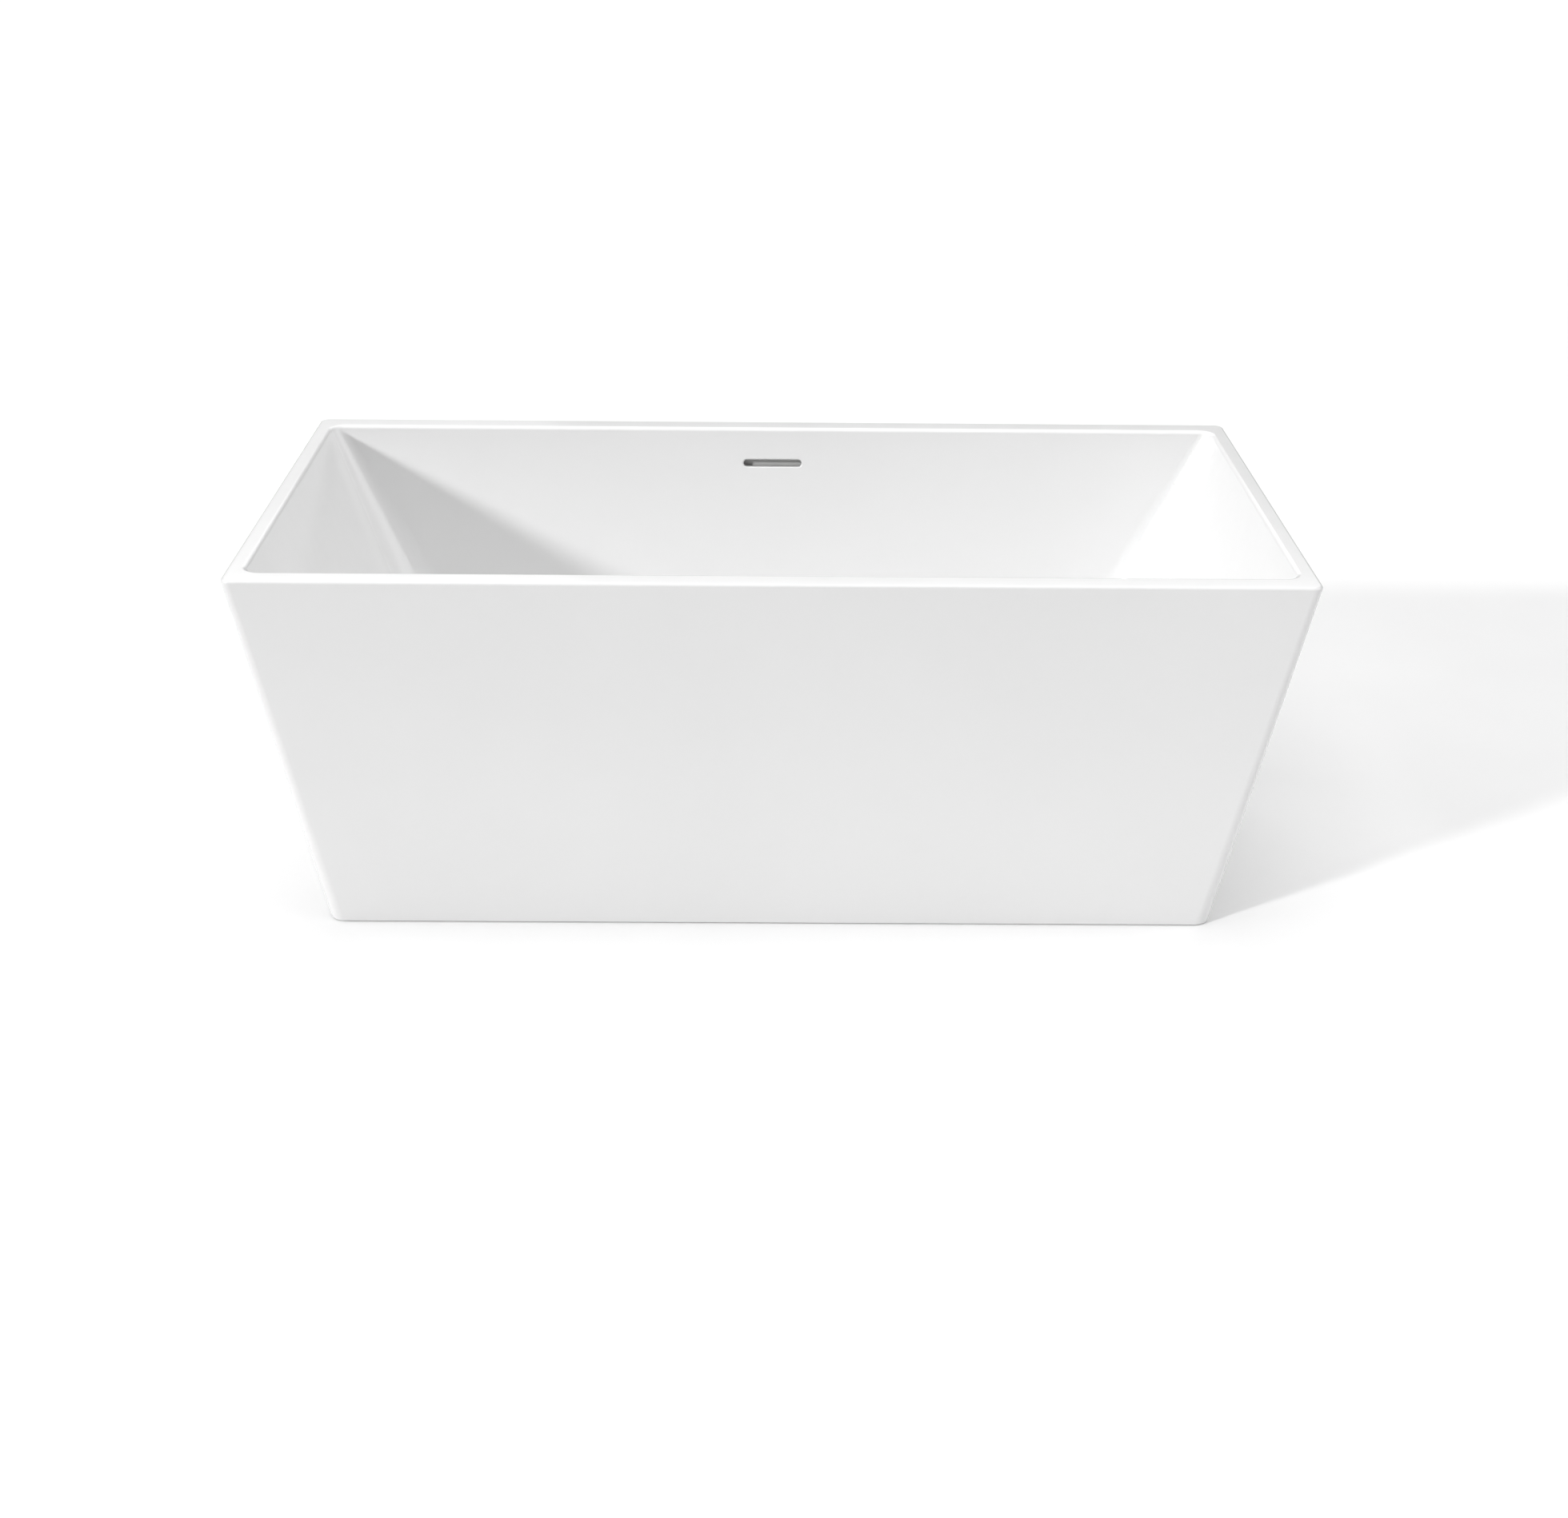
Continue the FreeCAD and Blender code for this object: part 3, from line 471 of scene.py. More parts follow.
def finish_piece(piece, material, body, *nodes, sharp=35):
    """Smooth shading with crisp edges, outward faces, a material, a body and the nodes it stands for."""
    mesh = bmesh.new()
    mesh.from_mesh(piece.data)
    bmesh.ops.remove_doubles(mesh, verts=mesh.verts, dist=SAME_POINT)
    bmesh.ops.recalc_face_normals(mesh, faces=mesh.faces)
    mesh.to_mesh(piece.data)
    mesh.free()
    piece.data.shade_smooth()
    piece.data.set_sharp_from_angle(angle=math.radians(sharp))
    weighted = piece.modifiers.new("weighted", "WEIGHTED_NORMAL")
    weighted.keep_sharp = True
    piece.data.materials.clear()
    piece.data.materials.append(MATERIALS[material])
    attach(piece, body)
    if nodes:
        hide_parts(*nodes)
    return piece


def cut(piece, cutter):
    """Takes the cutter's volume out of a piece and deletes the cutter."""
    modifier = piece.modifiers.new("cut", "BOOLEAN")
    modifier.operation = "DIFFERENCE"
    modifier.solver = "EXACT"
    modifier.object = cutter
    graph = bpy.context.evaluated_depsgraph_get()
    made = bpy.data.meshes.new_from_object(piece.evaluated_get(graph))
    piece.modifiers.remove(modifier)
    piece.data = made
    bpy.data.objects.remove(cutter)


# ---- the slot's own frame: u along the wall, v up the wall, w out through it -------------------------
LINER_LOW, LINER_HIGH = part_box("overflow_liner")
SLOT_CENTRE_Z = (LINER_LOW.z + LINER_HIGH.z) / 2
LEAN = math.atan(SIDE_SLOPE)
UP_WALL = Vector((0, math.sin(LEAN), math.cos(LEAN)))
THROUGH_WALL = Vector((0, math.cos(LEAN), -math.sin(LEAN)))
SLOT_HALF_LENGTH = LINER_HIGH.x
SLOT_HALF_HEIGHT = 0.00625
SLOT_STEPS = 12
SLOT_CUT_REACH = 0.02       # how far the cutter runs each way from the basin's inner face


def slot_origin():
    """The slot's centre on the basin's inner face."""
    depth = RIM_Z - SLOT_CENTRE_Z
    sleeve_middle = Vector((0, (LINER_LOW.y + LINER_HIGH.y) / 2, SLOT_CENTRE_Z))
    wall_y = HALF_Y - RIM_SIDE - SIDE_SLOPE * depth
    along = (sleeve_middle - Vector((0, wall_y, SLOT_CENTRE_Z))).dot(THROUGH_WALL)
    return sleeve_middle - along * THROUGH_WALL


def slot_ring(half_length, half_height, w):
    """A round-ended slot outline at depth w into the wall."""
    ring = []
    reach = half_length - half_height
    for end, start in ((1, -math.pi / 2), (-1, math.pi / 2)):
        for step in range(SLOT_STEPS + 1):
            angle = start + math.pi * step / SLOT_STEPS
            u = end * reach + half_height * math.cos(angle)
            v = half_height * math.sin(angle)
            ring.append(slot_origin() + Vector((u, 0, 0)) + v * UP_WALL + w * THROUGH_WALL)
    return ring


def slot_cutter():
    """The slot's void, flaring to a rounded mouth where it opens into the basin."""
    rings = [slot_ring(SLOT_HALF_LENGTH + SLOT_ROUND, SLOT_HALF_HEIGHT + SLOT_ROUND,
                       -SLOT_CUT_REACH)]
    for step in range(ROUND_STEPS + 1):
        angle = math.pi / 2 * step / ROUND_STEPS
        flare = SLOT_ROUND * (1 - math.sin(angle))
        w = SLOT_ROUND * (1 - math.cos(angle))
        rings.append(slot_ring(SLOT_HALF_LENGTH + flare, SLOT_HALF_HEIGHT + flare, w))
    rings.append(slot_ring(SLOT_HALF_LENGTH, SLOT_HALF_HEIGHT, SLOT_CUT_REACH))
    cutter = skins_mesh("slot_cutter", rings, closed=False)
    mesh = bmesh.new()
    mesh.from_mesh(cutter.data)
    bmesh.ops.holes_fill(mesh, edges=mesh.edges)
    bmesh.ops.recalc_face_normals(mesh, faces=mesh.faces)
    mesh.to_mesh(cutter.data)
    mesh.free()
    return cutter


def make_basin():
    """Rim, inner walls, floor with its drain hole, and the acrylic's hidden back, in one skin."""
    up = math.pi / 2
    lean = math.atan(TAPER)
    wall_top = basin_edge_round(RIM_INNER_ROUND, RIM_Z, 0, True)
    wall_foot = basin_edge_round(FLOOR_ROUND, FLOOR_Z, 0, False)
    hidden_foot = basin_edge_round(FLOOR_ROUND + ACRYLIC, FLOOR_Z - ACRYLIC, ACRYLIC, False)
    rings = [outer_ring(ACRYLIC, SEAM_Z), outer_ring(0, SEAM_Z)]
    rings += outer_edge_round(RIM_OUTER_ROUND, RIM_OUTER_ROUND, RIM_Z - RIM_OUTER_ROUND, -lean, up)
    rings += reversed(wall_top)
    rings += wall_foot
    rings.append(drain_ring(wall_foot[-1], DRAIN_HOLE, FLOOR_Z))
    rings.append(drain_ring(wall_foot[-1], DRAIN_HOLE, FLOOR_Z - ACRYLIC))
    rings += reversed(hidden_foot)
    rings.append(basin_wall_ring(ACRYLIC, RIM_Z - ACRYLIC))
    rings.append(outer_ring(ACRYLIC, RIM_Z - ACRYLIC))
    basin = skins_mesh("basin", rings)
    cut(basin, slot_cutter())
    return finish_piece(basin, "acrylic_white", "tub", "basin_shell")


def make_apron():
    """The outer shell with its bottom and top flanges."""
    lean = math.atan(TAPER)
    flange_top = BASE_Z + ACRYLIC
    rings = [outer_ring(0, SEAM_Z)]
    rings += reversed(outer_edge_round(BASE_ROUND, BASE_ROUND, BASE_Z + BASE_ROUND, -math.pi / 2, -lean))
    rings += [
        outer_ring(APRON_BOTTOM_FLANGE, BASE_Z), outer_ring(APRON_BOTTOM_FLANGE, flange_top),
        outer_ring(ACRYLIC, flange_top), outer_ring(ACRYLIC, SEAM_Z - ACRYLIC),
        outer_ring(APRON_TOP_FLANGE, SEAM_Z - ACRYLIC), outer_ring(APRON_TOP_FLANGE, SEAM_Z),
    ]
    apron = skins_mesh("apron", rings)
    return finish_piece(apron, "acrylic_white", "tub", "apron_shell")


# ---- skins for small hardware, built up from rings -----------------------------------------------------
TURN_STEPS = 48
THREAD_STEPS = 6
EASE = 0.0004               # how far the sharp edges of plain parts are eased
NUT_CORNER = 1.01           # a nut's corners at its faces, as a share of half its width
NUT_BEVEL = 0.06            # height of the corner bevels, as a share of its width
NUT_SINK = 0.0006           # countersink at both ends of the bore


def level_ring(centre, radius, z, count):
    """A ring about the upright line through centre; radius is a length or a function of the angle."""
    ring = []
    for step in range(count):
        angle = 2 * math.pi * step / count
        reach = radius(angle) if callable(radius) else radius
        ring.append(Vector((centre.x + reach * math.cos(angle), centre.y + reach * math.sin(angle), z)))
    return ring


def stack(centre, levels, count=TURN_STEPS):
    """A skin from (radius, height) pairs."""
    return [level_ring(centre, radius, z, count) for radius, z in levels]


def eased(corners, steps=5):
    """A closed profile of (radius, height, easing) corners as (radius, height) pairs, corners rounded."""
    points = []
    for i, (radius, height, easing) in enumerate(corners):
        here = Vector((radius, height))
        before = Vector(corners[i - 1][:2]) - here
        after = Vector(corners[(i + 1) % len(corners)][:2]) - here
        reach = min(easing, before.length / 2, after.length / 2)
        start = here + before.normalized() * reach
        end = here + after.normalized() * reach
        for step in range(steps + 1 if reach else 1):
            share = step / steps
            bend = start * (1 - share) ** 2 + here * 2 * share * (1 - share) + end * share ** 2
            points.append((bend.x, bend.y))
    return points


def flat_sided(sides, across_flats):
    """The radius, at each angle, of a nut with that many sides."""
    def radius(angle):
        from_flat = (angle + math.pi / sides) % (2 * math.pi / sides) - math.pi / sides
        return across_flats / 2 / math.cos(from_flat)
    return radius


def at_most(radius, limit):
    """The same outline, never reaching past limit."""
    return lambda angle: min(radius(angle), limit)


def threaded(radius, pitch, depth, low, high):
    """Levels of a right-hand screw thread that fades out at both ends."""
    levels = []
    count = round((high - low) / pitch * THREAD_STEPS)
    for step in range(count + 1):
        z = low + (high - low) * step / count
        fade = min(1, (z - low) / pitch, (high - z) / pitch)

        def reach(angle, z=z, fade=fade):
            phase = (z / pitch - angle / (2 * math.pi)) % 1
            return radius - depth * fade * abs(2 * phase - 1)
        levels.append((reach, z))
    return levels


def nut_levels(sides, across_flats, bore, low, high):
    """Levels of a nut with bevelled corners and a countersunk bore."""
    flats = flat_sided(sides, across_flats)
    worn = at_most(flats, across_flats / 2 * NUT_CORNER)
    bevel = NUT_BEVEL * across_flats
    return [
        (worn, low), (flats, low + bevel), (flats, high - bevel), (worn, high),
        (bore + NUT_SINK, high), (bore, high - NUT_SINK), (bore, low + NUT_SINK), (bore + NUT_SINK, low),
    ]


def softened(node, body="tub", ease=EASE):
    """A copy of a plain CAD node with its edges eased, standing in for it."""
    copy = frame["nodes"][node].data.copy()
    piece = bpy.data.objects.new(node + "_eased", copy)
    bpy.context.scene.collection.objects.link(piece)
    mesh = bmesh.new()
    mesh.from_mesh(copy)
    bmesh.ops.remove_doubles(mesh, verts=mesh.verts, dist=SAME_POINT)
    bmesh.ops.dissolve_limit(
        mesh, angle_limit=math.radians(1), verts=mesh.verts, edges=mesh.edges)
    mesh.to_mesh(copy)
    mesh.free()
    bevel = piece.modifiers.new("ease", "BEVEL")
    bevel.width = ease
    bevel.segments = 2
    bevel.limit_method = "ANGLE"
    bevel.angle_limit = math.radians(40)
    return finish_piece(piece, SLOTS[node], body, node)


def hardware(node, *skins, body="tub", sharp=35):
    """A detailed piece made of skins, standing in for a CAD node."""
    piece = skins_mesh(node + "_detail", *skins)
    return finish_piece(piece, SLOTS[node], body, node, sharp=sharp)


# ---- feet ------------------------------------------------------------------------------------------------
FOOT_PITCH = 0.00175
THREAD_DEPTH = 0.0009
STUD_R = 0.006
COLLAR_FLATS = 0.014
COLLAR_HEIGHT = 0.008
COLLAR_BEVEL = COLLAR_HEIGHT / 8
STUD_GAP = 0.0001
HEXAGON = 6
NUT_FLATS = 0.019
PAD_NECK_R = 0.011
PAD_EDGE = 0.001            # slope round the sole; the pad's outer easings are multiples of it
PAD_RIM_TOP = 0.3           # heights up the pad as shares of it: top of the rim,
PAD_NECK_FOOT = 0.65        # foot of the neck,
PAD_SOCKET_FLOOR = 0.43     # and floor of the stud's socket
PAD_NOTCHES = 16
PAD_NOTCH_DEPTH = 0.0012
PAD_NOTCH_START = 0.8       # share of the radius where the notches begin
FEET = range(1, 7)


def foot_centre(number):
    return sum(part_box(f"foot_pad_{number}"), Vector()) / 2


def make_stud(number):
    """Threaded rod with a hexagon collar to turn it by."""
    low, high = (corner.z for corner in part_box(f"foot_stud_{number}"))
    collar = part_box(f"foot_pad_{number}")[1].z
    collar_top = collar + COLLAR_HEIGHT
    hexagon = flat_sided(HEXAGON, COLLAR_FLATS)
    worn = at_most(hexagon, COLLAR_FLATS / 2 * NUT_CORNER)
    levels = [
        (0, low), (STUD_R - EASE, low), (STUD_R, low + EASE), (STUD_R, collar), (worn, collar),
        (hexagon, collar + COLLAR_BEVEL), (hexagon, collar_top - COLLAR_BEVEL), (worn, collar_top),
        (STUD_R, collar_top),
    ]
    levels += threaded(STUD_R, FOOT_PITCH, THREAD_DEPTH, collar_top + EASE, high - THREAD_DEPTH)
    levels += [(STUD_R - THREAD_DEPTH, high), (0, high)]
    hardware(f"foot_stud_{number}", stack(foot_centre(number), levels), body=f"stud_{number}")


def make_pad(number):
    """Moulded foot with finger notches round its edge."""
    low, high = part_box(f"foot_pad_{number}")
    radius = (high.x - low.x) / 2
    height = high.z - low.z
    socket = STUD_R + STUD_GAP
    socket_floor = low.z + PAD_SOCKET_FLOOR * height
    profile = eased([
        (0, low.z, 0),
        (radius - PAD_EDGE, low.z, 0.5 * PAD_EDGE),
        (radius, low.z + PAD_EDGE, 0.8 * PAD_EDGE),
        (radius, low.z + PAD_RIM_TOP * height, 1.2 * PAD_EDGE),
        (PAD_NECK_R, low.z + PAD_NECK_FOOT * height, 2 * PAD_EDGE),
        (PAD_NECK_R, high.z, 0.8 * PAD_EDGE),
        (socket, high.z, EASE),
        (socket, socket_floor, 0),
        (0, socket_floor, 0),
    ])
    notch_start = PAD_NOTCH_START * radius

    def notched(reach):
        depth = PAD_NOTCH_DEPTH * max(0, (reach - notch_start) / (radius - notch_start))
        return lambda angle: reach - depth * max(0, math.cos(PAD_NOTCHES * angle)) ** 2
    levels = [(notched(reach), z) for reach, z in profile]
    hardware(f"foot_pad_{number}", stack(foot_centre(number), levels, 2 * TURN_STEPS),
             body=f"pad_{number}")


def make_foot_nuts(node):
    """One nut of this kind on each stud."""
    low, high = (corner.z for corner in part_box(node))
    levels = nut_levels(HEXAGON, NUT_FLATS, STUD_R + STUD_GAP, low, high)
    hardware(node, *[stack(foot_centre(number), levels) for number in FEET])


# ---- frame -----------------------------------------------------------------------------------------------
TUBE = 0.030
TUBE_WALL = 0.002
TUBE_ROUND = 0.003
WELD = 0.0018


def tube_skin(start, end, side, welded):
    """A square tube with rounded edges; welded ends flare out into a bead."""
    way = (end - start).normalized()
    half = TUBE / 2
    bead = WELD if welded else 0

    def ring(distance, size, radius):
        return outline(start + distance * way, side, UPWARD, size, size, radius)
    length = (end - start).length
    inner = half - TUBE_WALL
    rings = []
    for distance, swell in ((0, bead), (bead, bead / 3), (2 * bead, 0),
                            (length - 2 * bead, 0), (length - bead, bead / 3), (length, bead)):
        rings.append(ring(distance, half + swell, TUBE_ROUND + swell))
    rings.append(ring(length, inner, TUBE_ROUND - TUBE_WALL))
    rings.append(ring(0, inner, TUBE_ROUND - TUBE_WALL))
    return rings


def make_rail(node):
    """A long tube, cut square."""
    low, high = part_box(node)
    middle = (low + high) / 2
    hardware(node, tube_skin(Vector((low.x, middle.y, middle.z)), Vector((high.x, middle.y, middle.z)),
                             ACROSS, False))


def make_cross(node):
    """A short tube, welded to the rails at both ends."""
    low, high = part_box(node)
    middle = (low + high) / 2
    hardware(node, tube_skin(Vector((middle.x, low.y, middle.z)), Vector((middle.x, high.y, middle.z)),
                             ALONG, True))


# ---- screws ----------------------------------------------------------------------------------------------
SCREW_R = 0.0025
SCREW_HEAD_R = 0.0045
SCREW_HEAD = 0.003
SCREW_PITCH = 0.0011
SCREW_THREAD_DEPTH = 0.0005
PAN_HEAD = ((0.6, 1), (0.85, 0.85), (1, 0.5), (1, 0))   # shares of the head's radius and height
RECESS_R = 0.0024
RECESS_SLIT = 0.0007
RECESS_ARM = math.radians(20)
RECESS_FLOOR = 0.0012       # above the seat
ARM_X = 0.280               # the side brackets' place along the apron


def cross_recess(angle):
    """The outline of a cross-shaped screwdriver recess."""
    from_arm = (angle + math.pi / 4) % (math.pi / 2) - math.pi / 4
    return RECESS_R if abs(from_arm) < RECESS_ARM else RECESS_SLIT


def screw_skin(centre, seat, way, length):
    """A pan-head screw; its head sits on the level seat and its shank runs way (1 up, -1 down)."""
    levels = [(0, RECESS_FLOOR), (cross_recess, RECESS_FLOOR), (cross_recess, SCREW_HEAD)]
    levels += [(across * SCREW_HEAD_R, above * SCREW_HEAD) for across, above in PAN_HEAD]
    levels += [(SCREW_R, 0)]
    thread = threaded(SCREW_R, SCREW_PITCH, SCREW_THREAD_DEPTH, EASE, length - 2 * SCREW_R)
    levels += [(reach, -along) for reach, along in thread]
    levels += [(0, -length)]
    return stack(centre, [(reach, seat - way * above) for reach, above in levels], TURN_STEPS // 2)


def make_frame_screws():
    """Two rows of four, up through the rails into the board."""
    low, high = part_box("frame_screws")
    seat = low.z + SCREW_HEAD
    row = high.x - SCREW_HEAD_R
    skins = [
        screw_skin(Vector((step * row, y, 0)), seat, 1, high.z - seat)
        for y in (low.y + SCREW_HEAD_R, high.y - SCREW_HEAD_R) for step in (-1, -1 / 3, 1 / 3, 1)
    ]
    hardware("frame_screws", *skins)


def make_apron_screws():
    """Two at each end and two along each side, down into the apron."""
    low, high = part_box("apron_screws")
    seat = high.z - SCREW_HEAD
    end_x = high.x - SCREW_HEAD_R
    side_y = high.y - SCREW_HEAD_R
    rail_y = (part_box("frame_rail_rear")[0].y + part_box("frame_rail_rear")[1].y) / 2
    places = [(sx * end_x, sy * rail_y) for sx in (-1, 1) for sy in (-1, 1)]
    places += [(sx * ARM_X, sy * side_y) for sx in (-1, 1) for sy in (-1, 1)]
    skins = [screw_skin(Vector((x, y, 0)), seat, -1, seat - low.z) for x, y in places]
    hardware("apron_screws", *skins)


# ---- overflow --------------------------------------------------------------------------------------------
LINER = 0.001
BAFFLE_W = 0.0135           # depth behind the basin's inner face
BAFFLE_HALF_LENGTH = 0.0555
BAFFLE_HALF_HEIGHT = 0.011
HOSE_R = 0.0085
HOSE_BORE = 0.0068
HOSE_W = 0.018              # the hose's centre line from the basin's inner face
HOSE_TOP_V = -0.020
HOSE_BEND = 0.055
HOSE_RIB = 0.005
HOSE_RIB_STEPS = 8
HOSE_CUFF = 0.018
HOSE_GROOVE = 0.0007        # half the depth of the grooves between ribs
CLAMP_R = 0.0103
CLAMP_WIDTH = 0.009
CLAMP_SETBACK = 0.004       # from the end of the hose
WORM_OUT = 0.001            # the worm housing's middle, out from the band
WORM_HALF_LENGTH = 0.0055
WORM_CHAMFER = 0.001
WORM_HALF = 0.0022
WORM_END_HALF = 0.0014
WORM_ROUND = 0.0008


def make_liner():
    """Thin sleeve in the slot, its front edge rolled outward."""
    outer_length = SLOT_HALF_LENGTH
    outer_height = SLOT_HALF_HEIGHT
    rings = [
        slot_ring(outer_length, outer_height, SLOT_ROUND - LINER / 2),
        slot_ring(outer_length, outer_height, WALL),
        slot_ring(outer_length - LINER, outer_height - LINER, WALL),
        slot_ring(outer_length - LINER, outer_height - LINER, SLOT_ROUND),
        slot_ring(outer_length - LINER * 0.8, outer_height - LINER * 0.8, SLOT_ROUND - LINER / 2),
        slot_ring(outer_length - LINER / 2, outer_height - LINER / 2, SLOT_ROUND - LINER * 0.75),
    ]
    hardware("overflow_liner", rings)


def make_baffle():
    """The light plate inside the overflow box that shows through the slot."""
    faces = [outline(wall_point(w, 0), ALONG, UP_WALL, BAFFLE_HALF_LENGTH, BAFFLE_HALF_HEIGHT, LINER)
             for w in (BAFFLE_W, BAFFLE_W + 2 * LINER)]
    piece = skins_mesh("overflow_baffle", capped(faces))
    finish_piece(piece, SLOTS["overflow_box"], "tub", "overflow_box")


def wall_point(w, v):
    """A point behind the slot: w through the wall, v up it."""
    return slot_origin() + w * THROUGH_WALL + v * UP_WALL


def hose_path():
    """Points and directions along the hose: down the wall, round the bend, level to the tee."""
    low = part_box("overflow_hose")[0]
    start = wall_point(HOSE_W, HOSE_TOP_V)
    down = -UP_WALL
    corner = start + down * ((start.z - low.z - HOSE_R) / -down.z)
    turn = down.angle(-ACROSS)
    setback = HOSE_BEND * math.tan(turn / 2)
    first = (corner - start).length - setback
    bend = HOSE_BEND * turn
    last = corner.y - setback - low.y
    inside = (corner - setback * down) + HOSE_BEND * (down.cross(ALONG))
    count = round((first + bend + last) / HOSE_RIB * HOSE_RIB_STEPS)
    for step in range(count + 1):
        s = (first + bend + last) * step / count
        if s < first:
            yield s, start + s * down, down
        elif s < first + bend:
            spin = Matrix.Rotation(-(s - first) / HOSE_BEND, 3, "X")
            arm = spin @ (corner - setback * down - inside)
            yield s, inside + arm, spin @ down
        else:
            yield s, corner - ACROSS * (setback + s - first - bend), -ACROSS


def path_ring(point, way, radius, count=TURN_STEPS // 2):
    """A circle square to a path that runs in the plane x = 0."""
    side = way.cross(ALONG)
    return [
        point + radius * (math.cos(2 * math.pi * i / count) * ALONG
                          + math.sin(2 * math.pi * i / count) * side)
        for i in range(count)
    ]


def make_hose():
    """Ribbed hose with plain cuffs where the clamps grip it."""
    path = list(hose_path())
    length = path[-1][0]
    outer, inner = [], []
    for s, point, way in path:
        ribbed = HOSE_CUFF < s < length - HOSE_CUFF
        groove = HOSE_GROOVE * (1 - math.cos(2 * math.pi * (s - HOSE_CUFF) / HOSE_RIB)) if ribbed else 0
        outer.append(path_ring(point, way, HOSE_R - groove))
        inner.append(path_ring(point, way, HOSE_BORE - groove))
    hardware("overflow_hose", outer + inner[::-1])


def clamp_skins(start, way):
    """A band round the hose and its worm housing."""
    half = CLAMP_WIDTH / 2
    band = [path_ring(start + along * way, way, radius, TURN_STEPS) for radius, along in eased([
        (HOSE_R, 0, 0), (CLAMP_R, 0, EASE), (CLAMP_R, CLAMP_WIDTH, EASE), (HOSE_R, CLAMP_WIDTH, 0)])]
    side = way.cross(ALONG)
    middle = start + half * way + (CLAMP_R + WORM_OUT) * ALONG
    full = WORM_HALF_LENGTH - WORM_CHAMFER
    housing = [
        outline(middle + along * side, ALONG, way, half_u, half * 0.8, WORM_ROUND)
        for half_u, along in ((WORM_END_HALF, -WORM_HALF_LENGTH), (WORM_HALF, -full),
                              (WORM_HALF, full), (WORM_END_HALF, WORM_HALF_LENGTH))
    ]
    return band, capped(housing)


def capped(rings):
    """The same rings with both ends closed by shrinking to a point."""
    first = sum(rings[0], Vector()) / len(rings[0])
    last = sum(rings[-1], Vector()) / len(rings[-1])
    return [[first] * len(rings[0])] + rings + [[last] * len(rings[-1])]


def make_clamps():
    """One clamp at each end of the hose."""
    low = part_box("overflow_hose")[0]
    branch = Vector((0, low.y + CLAMP_SETBACK, low.z + HOSE_R))
    upper = clamp_skins(wall_point(HOSE_W, HOSE_TOP_V - CLAMP_SETBACK), -UP_WALL)
    lower = clamp_skins(branch, ACROSS)
    hardware("hose_clamps", *upper, *lower)


# ---- drain and stopper -----------------------------------------------------------------------------------
TAIL_R = 0.024
TAIL_BORE = 0.020
TAIL_PITCH = 0.0023
TAIL_THREAD_DEPTH = 0.0012
TAIL_PLAIN = 0.006          # smooth length under the flange
FLANGE_HEIGHT = 0.0025
FLANGE_R = 0.034
FLANGE_RIM = 0.0008         # height of the flange's upright edge
FLANGE_SLOPE = 0.0015
THROAT = 0.006              # width and depth of the funnel into the tail
HUB_R = 0.008
HUB_HEIGHT = 0.004
SPOKE_TURNS = (90, 210, 330)
SPOKE_HALF_WIDTH = 0.0015
SPOKE_ROUND = 0.0006
SPOKE_ROOT = 0.9            # share of the hub's radius where a spoke starts
SPOKE_OVERLAP = 0.001       # how far it runs into the tail's wall
STEM_R = 0.0035
THREAD_GAP = 0.0003
TAILPIECE_NECK_R = 0.0185
TEE_R = 0.030
SLIP_NUT_LIP = 0.003
SLIP_NUT_SIDES = 12
SLIP_NUT_BEVEL = 0.0015
LOCKNUT_SIDES = 8
CAP_EDGE = 0.0025
CAP_CHAMFER = 0.0008
CAP_SHOULDER = 0.0006
BOARD_EASE = 0.0012
DOME_STEPS = 12


def make_drain_body():
    """Polished flange over a threaded tail, with the three-spoke hub inside."""
    low, high = (corner.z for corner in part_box("drain_body"))
    under = high - FLANGE_HEIGHT
    body = threaded(TAIL_R, TAIL_PITCH, TAIL_THREAD_DEPTH, low + EASE, under - TAIL_PLAIN)
    body += eased([
        (TAIL_R, under, 0),
        (FLANGE_R, under, 0.75 * EASE),
        (FLANGE_R, under + FLANGE_RIM, 1.5 * EASE),
        (FLANGE_R - FLANGE_SLOPE, high, 3 * EASE),
        (TAIL_BORE + THROAT, high, 5 * EASE),
        (TAIL_BORE, high - THROAT, 5 * EASE),
        (TAIL_BORE, low, 1.25 * EASE),
        (TAIL_R - EASE, low, 0.5 * EASE),
    ])
    hub_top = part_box("stopper_cartridge")[0].z + 2 * HUB_HEIGHT
    hub_low = hub_top - HUB_HEIGHT
    hub = eased([(HUB_R, hub_low, EASE), (HUB_R, hub_top, EASE),
                 (STEM_R + THREAD_GAP, hub_top, 0), (STEM_R + THREAD_GAP, hub_low, 0)])
    skins = [stack(DRAIN, body, 2 * TURN_STEPS), stack(DRAIN, hub)]
    for turn in SPOKE_TURNS:
        out = Vector((math.cos(math.radians(turn)), math.sin(math.radians(turn)), 0))
        side = UPWARD.cross(out)
        centre = Vector((DRAIN.x, DRAIN.y, (hub_low + hub_top) / 2))
        skins.append(capped([
            outline(centre + reach * out, side, UPWARD, SPOKE_HALF_WIDTH, HUB_HEIGHT / 2, SPOKE_ROUND)
            for reach in (SPOKE_ROOT * HUB_R, TAIL_BORE + SPOKE_OVERLAP)
        ]))
    hardware("drain_body", *skins)


def make_locknut():
    """The flat nut under the floor that clamps the drain's flange down."""
    low, high = (corner.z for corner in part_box("drain_locknut"))
    levels = nut_levels(LOCKNUT_SIDES, 2 * FLANGE_R, TAIL_R + THREAD_GAP, low, high)
    hardware("drain_locknut", stack(DRAIN, levels))


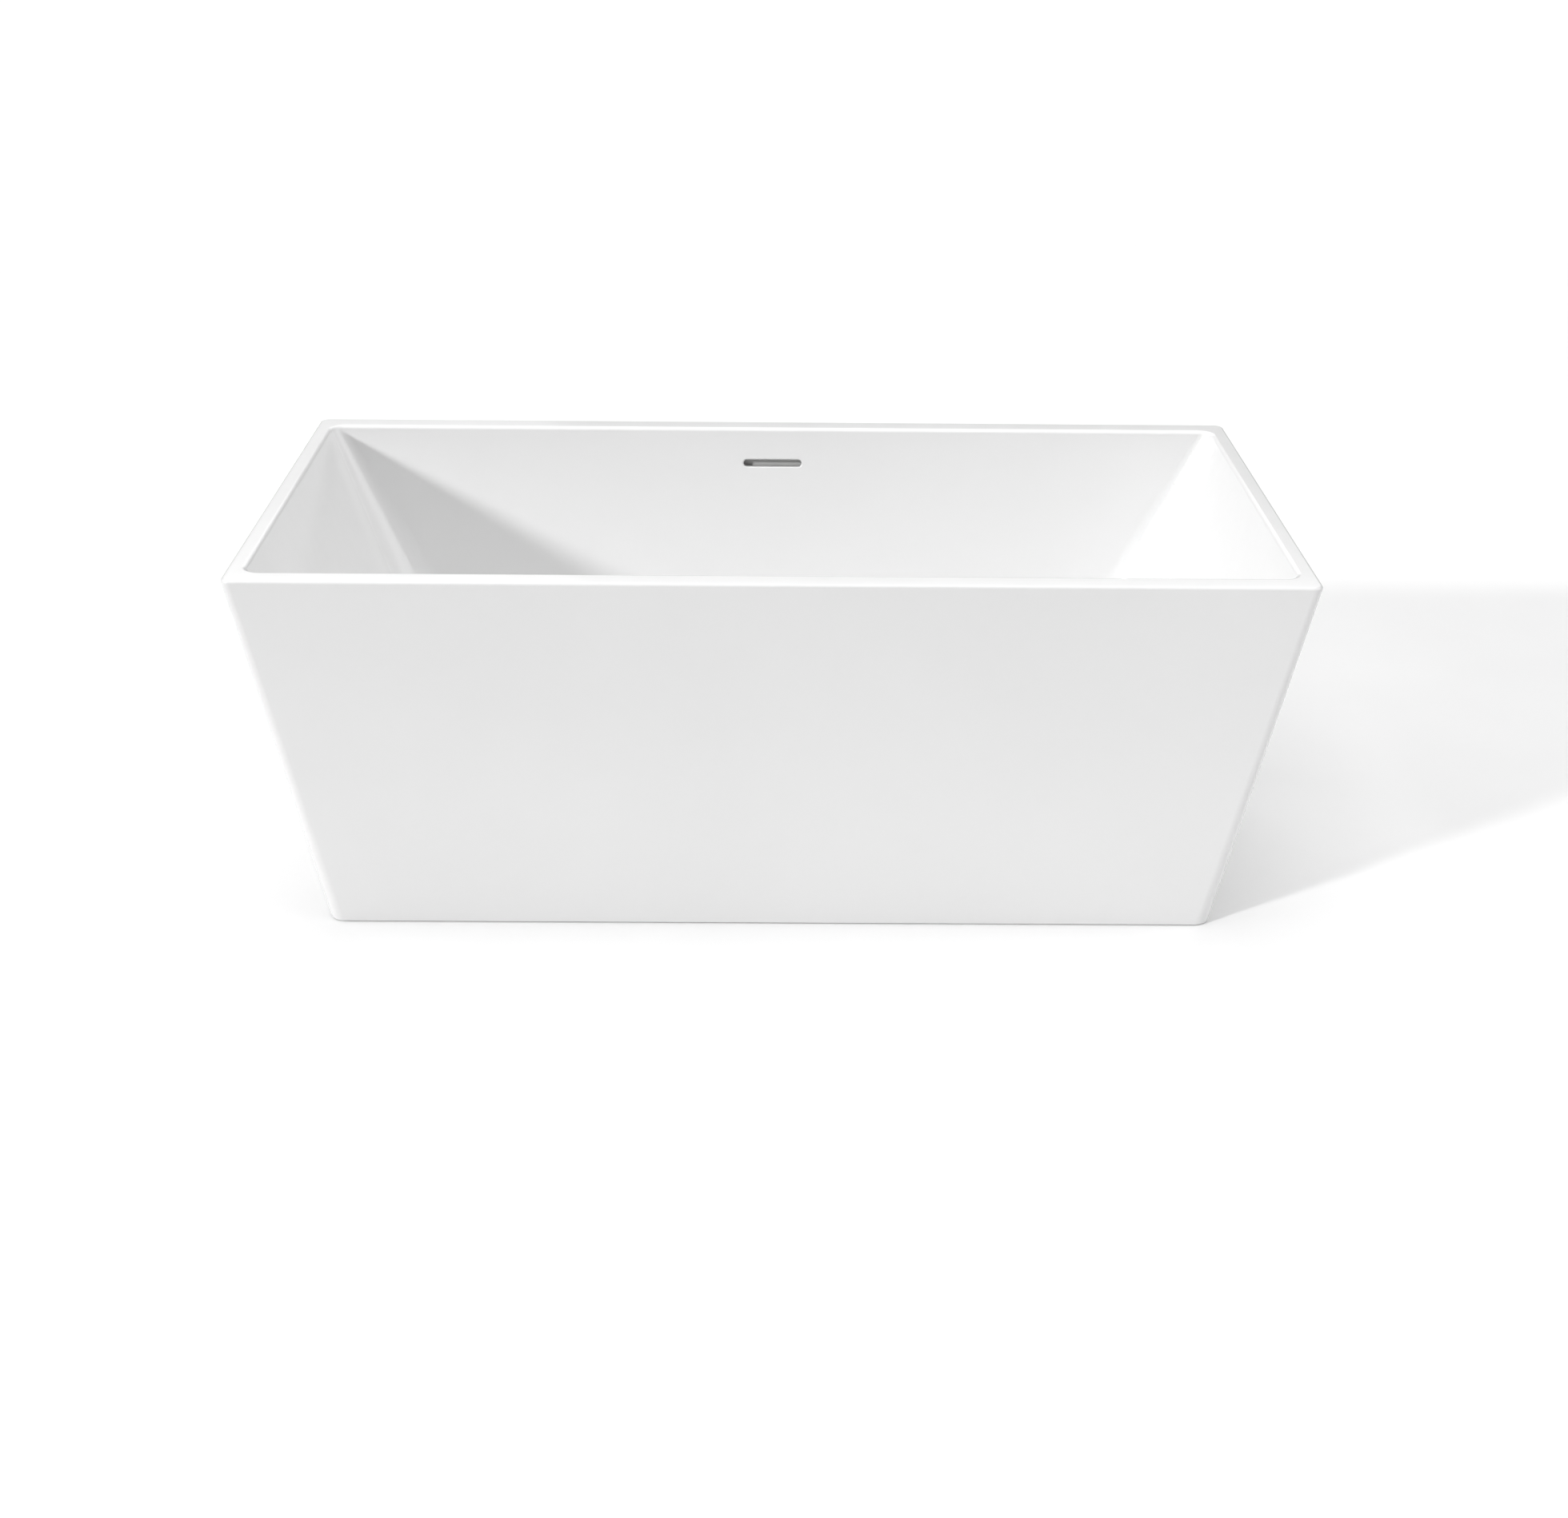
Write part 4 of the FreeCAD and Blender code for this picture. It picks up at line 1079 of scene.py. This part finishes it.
def make_slip_nut():
    """Twelve-sided hand nut that holds the tailpiece in the tee."""
    low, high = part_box("waste_slip_nut")
    flats = flat_sided(SLIP_NUT_SIDES, high.y - low.y)
    worn = at_most(flats, (high.y - low.y) / 2)
    neck = TAILPIECE_NECK_R + THREAD_GAP
    skirt = TEE_R + THREAD_GAP
    hardware("waste_slip_nut", stack(DRAIN, [
        (worn, low.z), (flats, low.z + SLIP_NUT_BEVEL),
        (flats, high.z - SLIP_NUT_BEVEL), (worn, high.z),
        (skirt + EASE, high.z), (skirt, high.z - EASE), (skirt, low.z + SLIP_NUT_LIP),
        (neck, low.z + SLIP_NUT_LIP), (neck, low.z + EASE), (neck + EASE, low.z),
    ]))


def make_stopper_cap():
    """Shallow polished dome with a rounded edge."""
    low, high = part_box("stopper_cap")
    radius = (high.x - low.x) / 2
    edge = low.z + CAP_EDGE
    profile = eased([
        (0, low.z, 0),
        (radius - CAP_CHAMFER, low.z, EASE),
        (radius, low.z + CAP_CHAMFER, 1.5 * EASE),
        (radius, edge - CAP_SHOULDER, 2.25 * EASE),
        (radius - 2 * CAP_SHOULDER, edge, 2 * EASE),
    ] + [
        (reach, edge + (high.z - edge) * (1 - (reach / radius) ** 2), 0)
        for reach in (radius * (1 - (step + 1) / DOME_STEPS) for step in range(DOME_STEPS))
    ])
    hardware("stopper_cap", stack(DRAIN, profile, 2 * TURN_STEPS), body="stopper", sharp=60)


def make_hardware():
    """Everything but the two shells."""
    for number in FEET:
        make_stud(number)
        make_pad(number)
    make_foot_nuts("foot_weld_nuts")
    make_foot_nuts("foot_lock_nuts")
    make_rail("frame_rail_front")
    make_rail("frame_rail_rear")
    for place in ("left", "middle", "right"):
        make_cross(f"frame_cross_{place}")
    make_frame_screws()
    make_apron_screws()
    make_liner()
    make_baffle()
    make_hose()
    make_clamps()
    make_drain_body()
    make_locknut()
    make_slip_nut()
    make_stopper_cap()
    softened("base_board", ease=BOARD_EASE)
    for node in ("foot_brackets", "apron_brackets", "overflow_box", "overflow_gasket", "waste_tee",
                 "waste_tailpiece", "stopper_cartridge"):
        softened(node)


make_basin()
make_apron()
make_hardware()
make_camera()
make_world(0.02, 1.05)
make_floor()
light_studio()
dress_cad_nodes()
bpy.context.scene.view_settings.view_transform = "Standard"
